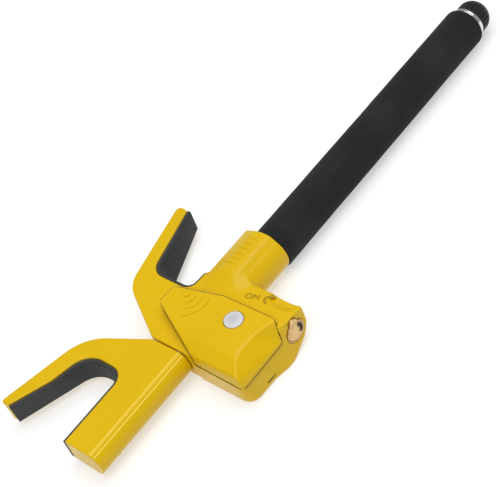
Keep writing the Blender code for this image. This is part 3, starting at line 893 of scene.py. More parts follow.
@dataclass(frozen=True)
class Metal:
    """Metal with tool marks along one direction.

    Attributes:
        name: Name of the material.
        light: Colour of its brighter marks.
        dark: Colour between them.
        roughness: Mean roughness.
        marks: Features a metre along each axis, small along the marks.
        depth: Depth of the marks in metres.
    """

    name: str
    light: Point3
    dark: Point3
    roughness: float
    marks: Point3
    depth: float = 0.000004

    def material(self) -> Material:
        """Stretched noise for the marks and a slow stain over them.

        Returns:
            The material.
        """
        graph = Graph(self.name)
        marks = graph.noise(1.0, 3.0, graph.stretched(self.marks))
        stain = graph.noise(60.0, 3.0).ramp(0.35, 0.7)
        graph.set(
            Base_Color=graph.blend(marks * 0.5 + stain * 0.5, self.dark, self.light),
            Roughness=self.roughness + marks * 0.12 + stain * 0.06 - 0.09,
            Metallic=1.0,
        )
        graph.relief(marks, self.depth)
        return graph.material


@dataclass(frozen=True)
class FacedMetal:
    """Metal faced on a lathe: rings round an axis along Y."""

    name: str
    light: Point3
    dark: Point3
    roughness: float
    centre: Point3
    pitch: float = 2200.0
    metallic: float = 0.85

    def material(self) -> Material:
        """Noise of the distance from the axis, which is the length of the flattened vector.

        Returns:
            The material.
        """
        graph = Graph(self.name)
        flat = graph.stretched((1.0, 0.0, 1.0), self.centre)
        away = graph.node("ShaderNodeVectorMath", {"operation": "LENGTH"}, {0: flat}, "Value")
        sockets = {"W": away * self.pitch, "Detail": 2.0}
        rings = graph.node("ShaderNodeTexNoise", {"noise_dimensions": "1D"}, sockets)
        stain = graph.noise(240.0, 3.0).ramp(0.35, 0.7)
        graph.set(
            Base_Color=graph.blend(rings * 0.4 + stain * 0.6, self.dark, self.light),
            Roughness=self.roughness + rings * 0.16 - 0.05,
            Metallic=self.metallic,
        )
        graph.relief(rings, 0.000006)
        return graph.material


@dataclass(frozen=True)
class Lens:
    """Milky push button, paler at its rim than in its middle."""

    name: str
    rim: Point3
    middle: Point3
    centre: Point3
    radius: float

    def material(self) -> Material:
        """Colour by the distance from the button's axis, with a fine satin grain.

        Returns:
            The material.
        """
        graph = Graph(self.name)
        flat = graph.stretched((1.0, 1.0, 0.0), self.centre)
        away = graph.node("ShaderNodeVectorMath", {"operation": "LENGTH"}, {0: flat}, "Value")
        fine = graph.noise(1500.0, 2.0)
        share = (away * (1.0 / self.radius)).ramp(0.2, 1.0)
        graph.set(
            Base_Color=graph.blend(share + (fine - 0.5) * 0.1, self.middle, self.rim),
            Roughness=0.38 + fine * 0.08,
        )
        graph.relief(fine, 0.00001)
        return graph.material


@dataclass(frozen=True)
class Laminate:
    """Circuit board or printed wrap: straight bands of two tones."""

    name: str
    light: Point3
    dark: Point3
    bands: Point3
    roughness: float = 0.45

    def material(self) -> Material:
        """Sharp-edged cells stretched along the bands.

        Returns:
            The material.
        """
        graph = Graph(self.name)
        tracks = graph.noise(1.0, 0.0, graph.stretched(self.bands)).ramp(0.48, 0.52)
        fine = graph.noise(900.0, 2.0)
        graph.set(
            Base_Color=graph.blend(tracks * 0.8 + fine * 0.2, self.dark, self.light),
            Roughness=self.roughness + fine * 0.1,
        )
        graph.relief(tracks, 0.00002)
        return graph.material


Finish = Plastic | Rubber | Foam | Metal | FacedMetal | Lens | Laminate


# ---------------------------------------------------------------- sub-assemblies


@dataclass
class Workshop:
    """Puts finished pieces on the frame and keeps one material of each finish.

    Attributes:
        made: Materials by name.
    """

    frame: dict
    made: dict[str, Material] = field(default_factory=dict)

    def material(self, finish: Finish) -> Material:
        """Material of a finish, made once.

        Args:
            finish: The finish.

        Returns:
            Its material.
        """
        if finish.name not in self.made:
            self.made[finish.name] = finish.material()
        return self.made[finish.name]

    def dress(self, item: Item, finish: Finish) -> None:
        """Give a piece one finish."""
        item.data.materials.clear()
        item.data.materials.append(self.material(finish))

    def add(self, item: Item, body: Body, finish: Finish, slot: str) -> None:
        """Dress a piece that stands for no CAD node and put it on its body.

        Args:
            item: The piece.
            body: Body that it rides on.
            finish: Its finish.
            slot: Material slot of the record; not used.
        """
        self.dress(item, finish)
        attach(item, body.value)
        LOG.info("%s: %d faces on %s", item.name, len(item.data.polygons), body.value)

    def fit(self, item: Item, body: Body, finish: Finish, node: str) -> Item:
        """Dress a new piece, put it on its body and let it stand for its CAD node.

        Args:
            item: The piece.
            body: Body that it rides on.
            finish: Its finish.
            node: CAD node that it stands for.

        Returns:
            The piece.
        """
        self.dress(item, finish)
        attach(item, body.value)
        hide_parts(node)
        LOG.info("%s: %d faces on %s", item.name, len(item.data.polygons), body.value)
        return item

    def finish_node(self, node: str, finish: Finish) -> None:
        """Give a CAD node that stays in view its finish."""
        self.dress(self.frame["nodes"][node], finish)
        LOG.info("%s: CAD node, %s", node, finish.name)


YELLOW = Plastic(
    "yellow_moulding", (0.70, 0.450, 0.002), (0.67, 0.428, 0.0015), 0.25, 700.0, 0.000004
)
# Paler yellow for the crease ridges: a painted highlight.
CREASE_HIGHLIGHT = Plastic("painted_crease_highlight", (0.93, 0.72, 0.10), (0.90, 0.68, 0.08), 0.2, 700.0, 0.000004)
# Darker copy of the yellow for the arrow and the word: painted shade.
SHADED = Plastic("painted_shade_marks", (0.40, 0.25, 0.004), (0.33, 0.20, 0.003), 0.5, 1100.0, 0.00002)
# Dark rubber for the seam round the cover and the side slot: painted shadow of the gaps.
SEAM_SHADOW = Rubber("painted_seam_shadow", (0.060, 0.042, 0.010), (0.035, 0.026, 0.008))
RUBBER = Rubber("mouth_rubber", (0.050, 0.051, 0.052), (0.034, 0.035, 0.036))
FOAM = Foam("grip_foam", (0.022, 0.023, 0.025), (0.010, 0.0105, 0.0115))
BLACK = Plastic("black_moulding", (0.022, 0.023, 0.025), (0.012, 0.013, 0.014), 0.36, 1600.0)
CHROME = Metal(
    "polished_chrome", (0.86, 0.87, 0.89), (0.62, 0.63, 0.66), 0.16, (2600.0, 30.0, 30.0)
)
ROD_STEEL = Metal(
    "turned_steel", (0.68, 0.69, 0.70), (0.46, 0.47, 0.49), 0.30, (2400.0, 40.0, 40.0)
)
ZINC = Metal("zinc_screw", (0.66, 0.66, 0.64), (0.44, 0.45, 0.46), 0.36, (900.0, 900.0, 300.0))
BRASS = Metal("drawn_brass", (0.80, 0.58, 0.32), (0.58, 0.38, 0.17), 0.34, (1500.0, 60.0, 60.0))
# Near-black for the insert down the keyway: painted shade of the deep keyway.
KEYWAY_SHADE = Metal(
    "painted_keyway_shade", (0.05, 0.05, 0.05), (0.02, 0.02, 0.022), 0.45, (60.0, 900.0, 900.0)
)
BOARD = Laminate("board_laminate", (0.03, 0.22, 0.09), (0.012, 0.11, 0.05), (300.0, 60.0, 300.0))
CELL = Laminate("cell_wrap", (0.16, 0.19, 0.26), (0.05, 0.06, 0.09), (8.0, 200.0, 200.0), 0.35)

HOOK_HALF = 12.2
SEAM_Z = 6.0
GAP = 0.3
CORE_W = 6.5
CORE_HALF = 4.0
HEAD_BOTTOM = -AXIS_HEIGHT
COVER_TOP = 24.0
TUBE_BORE = 13.3
LINER_THICK = 3.0
FIXED_LINER_HALF = 11.4
SLIDING_LINER_HALF = 10.9

FIXED_MOUTH: list[Corner] = [
    (103.0, 88.0, 0.0),
    (36.5, 71.3, 15.0),
    (36.5, 28.0, 10.0),
    (55.0, 27.0, 3.0),
    (58.0, 23.5, 1.5),
    (107.0, 23.5, 0.0),
]
SLIDING_LIP: list[Corner] = [
    (-123.0, 21.6, 0.0),
    (-52.1, 21.8, 14.0),
    (-51.5, 63.8, 21.0),
    (-87.0, 72.4, 18.0),
    (-122.0, 88.7, 0.0),
]
SLIDING_CORE: list[Corner] = [
    (-112.0, 22.0, 0.0),
    (-51.0, 22.0, 11.0),
    (-50.5, 66.0, 18.0),
    (-87.0, 76.0, 0.0),
]
SLIDING_INNER_LOW: list[Corner] = [
    (-123.0, 25.0, 0.0),
    (-55.0, 25.0, 7.0),
    (-54.0, 59.5, 21.0),
    (-88.0, 73.3, 40.0),
    (-122.5, 87.3, 0.0),
]
SLIDING_WALL_LOW = shifted(SLIDING_INNER_LOW, -LINER_THICK)
FIXED_SCREWS: list[Point2] = [(84.0, 20.0), (33.0, 50.0), (76.0, 85.0)]
JAW_SCREWS: list[Point2] = [(-92.0, 18.5), (-48.4, 44.0), (-84.0, 75.8)]
COVER_SCREWS: list[Point2] = [(-8.5, -61.5), (31.5, -61.5), (-8.5, -24.5)]
LOCK_AXIS: Point2 = (49.0, 1.0)
BUTTON_AXIS: Point2 = (24.0, -34.0)


def core_slot(path: Sequence[Corner]) -> Solid:
    """Slot that holds the steel core behind a mouth's edge, given by its path along that edge."""
    return plate(band(path, -CORE_W - 2 * GAP, 1.0), -CORE_HALF - GAP, CORE_HALF + GAP)


def screw_holes(solid: Solid, places: Sequence[Point2]) -> Solid:
    """Drill a counterbored hole from below at each place.

    Args:
        solid: The solid.
        places: Axes of the holes, seen from above.

    Returns:
        The drilled solid.
    """
    for place in places:
        solid = solid.cut(bar(Axis.Z, place, 1.7, -20.0, 2.6))
        solid = solid.cut(bar(Axis.Z, place, 3.2, -20.0, -9.4), 0.5)
    return solid


@dataclass
class Assembly:
    """Sub-assembly of the object.

    Attributes:
        shop: Workshop that dresses and places its pieces.
    """

    shop: Workshop


@dataclass
class Grip(Assembly):
    """Foam sleeve, bright ring and ribbed cap at the far end of the bar.

    Attributes:
        ribs: Number of ribs round the cap.
        rib_depth: Depth of the grooves between them.
        rib_length: Length of the cap's straight side.
        cap_short: How much shorter than its CAD node the cap is.
        cap_floor: Where the cap's bore ends along the bar.
        ring_edge: Fillet of the ring's rims.
        foam_edge: Fillet at the far end of the foam.
        dent: Height of the foam's slowest wave.
    """

    ribs: int = 24
    rib_depth: float = 1.0
    rib_length: float = 7.5
    cap_short: float = 1.4
    cap_floor: float = 414.3
    ring_edge: float = 0.5
    foam_edge: float = 4.2
    dent: float = 0.07

    @staticmethod
    def span(node: str) -> tuple[float, float, float]:
        """Measure a round node along the bar.

        Args:
            node: Name of the CAD node.

        Returns:
            Its start, end and radius in millimetres.
        """
        low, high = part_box(node)
        return low.x / MM, high.x / MM, (high.y - low.y) / MM / 2.0

    def foam(self) -> Item:
        """Sleeve whose skin sinks and swells by a tenth of a millimetre or so.

        Returns:
            The sleeve.
        """
        start, end, radius = self.span("foam_grip")
        mould = [
            (start, TUBE_BORE, 0.0),
            (start, radius, 1.6),
            (end, radius, self.foam_edge),
            (end, TUBE_BORE, 0.0),
        ]
        corners = fillet_profile(mould, closed=True, step=9.0)
        along = np.linspace(start + 2.0, end - 5.0, 90)
        split = int(np.argmax(corners[:, 0] > (start + end) / 2))
        body = np.stack([along, np.full_like(along, radius)], 1)
        profile = np.concatenate([corners[:split], body, corners[split:]])

        def dents(x: Array, angle: Array) -> Array:
            """Sum of three slow waves along and round the sleeve.

            Args:
                x: Places along the bar.
                angle: Angles round it.

            Returns:
                Depth under the plain skin.
            """
            waves = np.sin(x / 9.0 + 2.0 * angle) * np.sin(x / 23.0)
            waves = waves + 0.6 * np.sin(x / 31.0 - angle) + 0.4 * np.sin(x / 5.3 + 3.0 * angle)
            return self.dent * waves * (profile[:, 1:2] > radius - 0.01)

        return turned(
            "foam_sleeve", profile, Axis.X, segments=120, looped=True, depth=dents, sharp=50.0
        )

    def ring(self) -> Item:
        """Bright ring with a shallow groove round its middle.

        Returns:
            The ring.
        """
        start, end, radius = self.span("chrome_ring")
        middle = (start + end) / 2
        mould = [
            (start, TUBE_BORE, 0.0),
            (start, radius, self.ring_edge),
            (middle - 0.35, radius, 0.1),
            (middle, radius - 0.3, 0.1),
            (middle + 0.35, radius, 0.1),
            (end, radius, self.ring_edge),
            (end, TUBE_BORE, 0.0),
        ]
        profile = fillet_profile(mould, closed=True)
        return turned("bright_ring", profile, Axis.X, looped=True, sharp=40.0)

    def cap(self) -> Item:
        """Cap with a ribbed side and a dome: an ellipse of the cap's radius and its end.

        Returns:
            The cap.
        """
        start, end, radius = self.span("end_cap")
        end = end - self.cap_short
        rib_end = start + self.rib_length
        angle = np.radians(np.linspace(0.0, 90.0, 22))
        dome = np.stack([rib_end + (end - rib_end) * np.sin(angle), radius * np.cos(angle)], 1)
        side = [(start, radius - 0.9), (start + 0.3, radius - 0.2), (start + 0.9, radius)]
        straight = np.stack([np.linspace(start + 1.6, rib_end - 0.4, 14), np.full(14, radius)], 1)
        inside = [(self.cap_floor, 0.0), (self.cap_floor, TUBE_BORE), (start, TUBE_BORE)]
        profile = np.concatenate([inside, side, straight, dome])

        def grooves(x: Array, turn: Array) -> Array:
            """Narrow round-bottomed grooves that fade at the rim and up the dome.

            Args:
                x: Places along the bar.
                turn: Angles round it.

            Returns:
                Depth of the grooves.
            """
            wave = np.clip(np.cos(self.ribs * turn) + 0.1, 0.0, 1.0) / 1.1
            fade = np.clip((x - start - 0.9) / 1.5, 0.0, 1.0)
            fade = fade * np.clip((rib_end + 8.0 - x) / 6.0, 0.0, 1.0)
            outer = profile[:, 1:2] > 7.0
            outer[:3] = False
            return self.rib_depth * wave * fade * outer

        count = self.ribs * 10
        return turned("ribbed_cap", profile, Axis.X, segments=count, depth=grooves, sharp=50.0)

    def build(self) -> None:
        """Make, dress and place the pieces."""
        foam = self.shop.fit(self.foam(), Body.HEAD, FOAM, "foam_grip")
        self.shop.fit(self.ring(), Body.HEAD, CHROME, "chrome_ring")
        self.shop.fit(self.cap(), Body.HEAD, BLACK, "end_cap")


@dataclass
class Liner(Assembly):
    """Rubber strip round the inside of a hook's mouth.

    Every station along the mouth has the same section, a rounded rectangle. Its wall side lies on
    the mouth's edge and its inner side on two more paths, one for the top and one for the bottom.

    Attributes:
        name: Name of the piece.
        wall_top: Corners of the mouth's edge at the strip's top.
        wall_low: Corners of the mouth's edge at the strip's bottom.
        inner_top: Corners of the strip's inner face at its top.
        inner_low: Corners of the strip's inner face at its bottom.
        half: Half of the strip's height.
        thick: Thickness that the section's corners are drawn for.
        edge: Radius of the section's small corners.
        shoulder: Radius of its upper inner corner.
    """

    name: str
    wall_top: list[Corner]
    wall_low: list[Corner]
    inner_top: list[Corner]
    inner_low: list[Corner]
    half: float
    thick: float = 2.7
    edge: float = 0.5
    shoulder: float = 2.0

    @staticmethod
    def stations(path: Sequence[Corner], counts: list[int]) -> Array:
        """Points along a path, spread evenly between each pair of its corners.

        Args:
            path: Corners of the path.
            counts: Points between each pair of corners; filled on the first call.

        Returns:
            Points, one row each.
        """
        points = rounded(path, closed=False, step=3.0)
        run = np.concatenate([[0.0], np.cumsum(np.linalg.norm(np.diff(points, axis=0), axis=1))])
        marks = [run[int(np.argmin(np.hypot(*(points - corner[:2]).T)))] for corner in path]
        if not counts:
            counts.extend(max(4, round((b - a) / 1.1)) for a, b in zip(marks, marks[1:]))
        even = [np.linspace(a, b, n, endpoint=False) for a, b, n in zip(marks, marks[1:], counts)]
        along = np.concatenate([*even, [marks[-1]]])
        return np.stack([np.interp(along, run, points[:, i]) for i in (0, 1)], 1)

    def section(self) -> Array:
        """Rounded rectangle from 0 to 1 across and from -1 to 1 in height.

        Returns:
            Points of the section.
        """
        half, thick, edge = self.half, self.thick, self.edge
        box = [
            (0.0, -half, edge),
            (thick, -half, edge),
            (thick, half, self.shoulder),
            (0.0, half, edge),
        ]
        outline = rounded(box, step=22.0)
        inner = np.stack([np.full(7, thick), np.linspace(-half + 2.0, half - 3.0, 7)], 1)
        split = int(np.argmax(outline[:, 1] > 0.0))
        return np.concatenate([outline[:split], inner, outline[split:]]) / (thick, half)

    def build(self, body: Body, node: str) -> None:
        """Make, dress and place the strip.

        Args:
            body: Body that it rides on.
            node: CAD node that it stands for.
        """
        counts: list[int] = []
        wall_top = self.stations(shifted(self.wall_top, GAP), counts)
        wall_low = self.stations(shifted(self.wall_low, GAP), counts)
        inner_top = self.stations(self.inner_top, counts)
        inner_low = self.stations(self.inner_low, counts)
        section = self.section()
        across, rise = section[None, :, :1], section[None, :, 1:]
        up = (rise + 1.0) / 2.0
        wall_side = wall_low[:, None] + (wall_top - wall_low)[:, None] * up
        inner_side = inner_low[:, None] + (inner_top - inner_low)[:, None] * up
        flat = wall_side + (inner_side - wall_side) * across
        height = np.broadcast_to(rise * self.half, (*flat.shape[:2], 1))
        item = tube_of(np.concatenate([flat, height], -1), self.name, sharp=50.0)
        self.shop.fit(item, body, RUBBER, node)


@dataclass
class Housing(Assembly):
    """Main moulding: fixed hook, collar and the lower half of the head.

    Attributes:
        cover: Cover that sits on it.
        cell: Size of the mesh's cells.
        rim: Radius of the hook's rims.
        swell: How far the front swells near the lock.
        foot: Size of the rounding along the bottom.
        corner: Size of the rounding between the front and the left side.
        fillet: Size of the fillet between the hook's plate and the collar.
    """

    cover: Cover
    cell: float = 0.9
    rim: float = 1.3
    swell: float = 3.8
    foot: float = 4.0
    corner: float = 12.0
    fillet: float = 6.5

    def hook_plate(self) -> Solid:
        """Flat plate of the fixed hook.

        Returns:
            The plate.
        """
        outer = [
            (107.0, 5.0, 0.0),
            (60.0, 5.0, 0.0),
            (60.0, -19.7, 0.0),
            (-14.7, -19.7, 0.0),
            (-14.7, 25.8, 8.0),
            (16.9, 79.8, 30.0),
            (104.5, 99.5, 4.5),
        ]
        return plate(rounded(FIXED_MOUTH + outer), -HOOK_HALF, HOOK_HALF, rim=self.rim)

    def front(self) -> Solid:
        """Face of the lock: it leans out downwards, and swells near the lock's side of the head.

        Its place is -69 less the depth below 14 times 0.085 and a bell round x 31.

        Returns:
            Half space behind the face.
        """

        def reach(x: Array, y: Array, z: Array) -> Array:
            """Distance in front of the leaning face.

            Args:
                x: Places along the bar.
                y: Places across it.
                z: Heights.

            Returns:
                The distances.
            """
            bell = np.exp(-(((x - 31.0) / 12.0) ** 2))
            depth = np.maximum(14.0 - z, 0.0)
            return -69.0 - depth * 0.085 - self.swell * bell * (depth / 33.0) ** 2 - y

        return Solid(reach)

    def head_block(self) -> Solid:
        """Box of the head with its leaning sides, before it is cut to height.

        Returns:
            The box.
        """
        corners = [
            (-14.5, 17.0, 0.0),
            (-14.5, -18.0, 0.0),
            (-18.0, -18.0, 0.0),
            (-18.0, -75.5, 13.0),
            (64.0, -75.5, 10.0),
            (64.0, 17.0, 0.0),
        ]
        left = behind((-15, 0, -19), (-15, 9, -19), (-17.5, 0, 6), (-40, 0, 0))
        form = plate(rounded(corners), -40.0, 40.0).keep(self.front().keep(left, self.corner), 1.5)
        form = form.keep(behind((64.5, 0, 0), (64.5, 9, 0), (55, 0, -13), (80, 0, -20)), 2.0)
        form = form.keep(behind((55, 0, -13), (55, 9, -13), (40, 0, -19.3), (60, 0, -30)), 3.0)
        return form.keep(wall(Axis.Z, HEAD_BOTTOM, -1), self.foot)

    def strip(self) -> Solid:
        """Sloping strip beside the cover, which ends at the cover's face by the lock.

        Returns:
            The strip.
        """
        top = behind((40.3, 0, 18.0), (40.3, 9, 18.0), (64, 0, 14.5), (50, 0, 40))
        form = self.head_block().keep(wall(Axis.X, 24.0, -1)).keep(top, 1.8)
        form = form.keep(self.cover.lock_side(), 1.2)
        return form.keep(behind((40, 3, 18), (64, 3, 14.5), (52, 22, 11.0), (50, 20, 40)), 5.0)

    @staticmethod
    def collar() -> Solid:
        """Sleeve round the tube: low dome on top, round on the far side from the mouth.

        Returns:
            The collar.
        """
        dome = arc((1.5, -9.0), 30.2, 44.4, 102.4, 22)
        side = arc((0.0, 1.0), 18.6, 121.0, 250.0, 36)
        outline = np.concatenate([dome, side, [(10.0, -17.0), (23.2, -11.6)]])
        sleeve = plate(outline, 45.0, 107.0, Axis.X, rim=1.2)
        return sleeve.keep(behind((50, 0, 13.0), (50, 9, 13.0), (61, 0, 22.0), (45, 0, 30)), 4.0)

    @staticmethod
    def openings(solid: Solid) -> Solid:
        """Cut the bores, the pocket, the lock's hole and the screw holes.

        Args:
            solid: The moulding without them.

        Returns:
            The moulding with them.
        """
        solid = solid.cut(bar(Axis.X, (0.0, 0.0), 9.4, -30.0, -10.0), 0.4)
        solid = solid.cut(bar(Axis.X, (0.0, 0.0), 10.7, -11.0, 20.0))
        solid = solid.cut(bar(Axis.X, (0.0, 0.0), TUBE_BORE, 8.7, 120.0))
        solid = solid.cut(block((-12, -57, -2.3), (36, -20, 30)))
        solid = solid.cut(block((-4, -65, -2.3), (28, -20, 30)))
        solid = solid.cut(block((-10.5, -55, -15), (34.5, -28, 0)))
        door = [(-4.3, -55.8, 3), (33.3, -55.8, 3), (33.3, -27.7, 3), (-4.3, -27.7, 3)]
        solid = solid.cut(plate(rounded(door), -30.0, -16.5))
        solid = solid.cut(plate(lock_outline(GAP), -90.0, -38.0, Axis.Y), 0.6)
        solid = solid.cut(bar(Axis.Y, LOCK_AXIS, 8.0, -39.0, -28.5))
        solid = solid.cut(block((46.7, -30, -4.4), (51.3, 0, 4.4)))
        core = [(99.3, 87.1, 0.0), *FIXED_MOUTH[1:-1], (103.3, 23.5, 0.0)]
        solid = solid.cut(core_slot(core))
        for place in COVER_SCREWS:
            solid = solid.cut(bar(Axis.Z, place, 3.1, -30.0, -14.4))
        return screw_holes(solid, FIXED_SCREWS)

    def build(self) -> None:
        """Make, dress and place the moulding."""
        lower = self.head_block().keep(wall(Axis.Z, SEAM_Z, 1)).join(self.strip())
        solid = self.hook_plate().join(lower, 2.4).join(self.collar(), self.fillet)
        solid = solid.cut(block((58.5, 23.5, -40), (120, 60, 40)), 0.8)
        form = self.cover.form(-30.0)
        room = Solid(lambda x, y, z: form.reach(x, y, z) - GAP)
        low_room = room.keep(wall(Axis.Z, SEAM_Z, -1)).keep(wall(Axis.Y, -19.7, 1))
        high_room = room.keep(wall(Axis.Z, HOOK_HALF + 0.15, -1)).keep(wall(Axis.Y, -21.7, -1))
        solid = solid.cut(low_room, 0.5).cut(high_room, 0.5)
        solid = solid.join(bar(Axis.X, (0.0, 0.0), 14.9, 8.0, 58.0))
        solid = solid.cut(egg((63.0, -53.0, 25.5), (14.0, 22.0, 14.0)), 1.5)
        low, high = (-20, -79, -20.5), (109, 102, 23)
        item = moulded("lock_housing", self.openings(solid), low, high, self.cell)
        self.shop.fit(item, Body.HEAD, YELLOW, "head_housing")


@dataclass
class Cover(Assembly):
    """Raised faceted cover over the alarm, with a hole for its button.

    Attributes:
        cell: Size of the mesh's cells.
        wall: Thickness of its wall.
        crease: Size of the rounding along the creases of its top.
        valley: Width over which the two faces of its front blend.
    """

    cell: float = 0.6
    wall: float = 2.5
    crease: float = 1.8
    valley: float = 4.0

    @staticmethod
    def lock_side() -> Solid:
        """Half space behind the face by the lock."""
        return behind((36.6, -64.2, 24), (16.9, -56.7, 24), (36.6, -70.5, 10.5), (10, -90, 40))

    def form(self, bottom: float) -> Solid:
        """Outer form. The front is the union of two half spaces, so that a crease runs down it.

        Args:
            bottom: Height that it starts from.

        Returns:
            The form, with no hollow and no holes.
        """
        corners = [
            (28.0, 33.5, 3.0),
            (39.0, -11.0, 8.0),
            (40.0, -62.0, 3.0),
            (29.0, -75.0, 0.5),
            (-18.0, -75.0, 9.0),
            (-16.5, -21.0, 2.0),
            (10.5, 34.5, 2.0),
        ]
        form = plate(rounded(corners), bottom - 9.0, COVER_TOP, rim=1.4)
        form = form.keep(wall(Axis.Z, bottom, -1))
        far = behind((17, -56.7, 24), (-1, -58.2, 24), (8, -70.5, 10.5), (0, -90, 40))
        form = form.keep(self.lock_side().join(far, self.valley), self.crease)
        form = form.keep(behind((0, -71.6, 6), (9, -71.6, 6), (0, -69, 14), (0, -90, 6)), 1.5)
        form = form.keep(behind((-17.5, 0, 6), (-17.5, -9, 6), (-15.6, 0, 17), (-40, 0, 12)), 1.5)
        slope = behind((-3, 0, 24), (-3, -9, 24), (-15.5, 0, 17), (-40, 0, 30))
        return form.keep(slope, self.crease)

    def build(self) -> None:
        """Make, dress and place the cover."""
        inside = self.form(-30.0)
        hollow = Solid(lambda x, y, z: inside.reach(x, y, z) + self.wall)
        shell = self.form(SEAM_Z + GAP).cut(hollow.keep(wall(Axis.Y, -22.5, 1)))
        shell = shell.cut(block((-30, -20, -30), (46, 40, 12.5)))
        shell = shell.cut(bar(Axis.X, (0.0, 0.0), 15.4, 0.0, 46.0))
        shell = shell.cut(bar(Axis.Z, BUTTON_AXIS, 8.5, 15.0, 30.0), 0.8)
        item = moulded("alarm_shell", shell, (-19, -74, 5), (42, 36, 25.5), self.cell)
        self.shop.fit(item, Body.HEAD, YELLOW, "alarm_cover")


def raised_path(name: str, path: Array, width: float, low: Array, high: Array) -> Item:
    """Low rib along a flat path, with chamfered top edges.

    The section is a trapezium: full width at the bottom, and 0.5 mm narrower at the top.

    Args:
        name: Name of the piece.
        path: Points seen from above.
        width: Width of the rib.
        low: Height of its foot at each point.
        high: Height of its top at each point.

    Returns:
        The rib.
    """
    ahead = np.gradient(path, axis=0)
    ahead /= np.linalg.norm(ahead, axis=1, keepdims=True)
    left = np.stack([-ahead[:, 1], ahead[:, 0]], 1)
    half = width / 2.0
    sides = np.array([-half, half, half, half - 0.25, 0.25 - half, -half])
    share = np.array([0.0, 0.0, 0.8, 1.0, 1.0, 0.8])
    flat = path[:, None] + left[:, None] * -sides[None, :, None]
    rise = low[:, None] + (high - low)[:, None] * share
    return tube_of(np.concatenate([flat, rise[..., None]], -1)[:, ::-1], name, sharp=30.0)


def flat_mark(name: str, outline: Array, level: Array, rise: float) -> Item:
    """Raise a mark with upright sides from a surface.

    Args:
        name: Name of the piece.
        outline: Its outline, seen from above.
        level: Height of the surface at each point of the outline.
        rise: Height of the mark over the surface.

    Returns:
        The mark.
    """
    low = np.column_stack([outline, level - 0.8])
    high = np.column_stack([outline, level + rise])
    return tube_of(np.stack([low, high]), name, sharp=30.0)


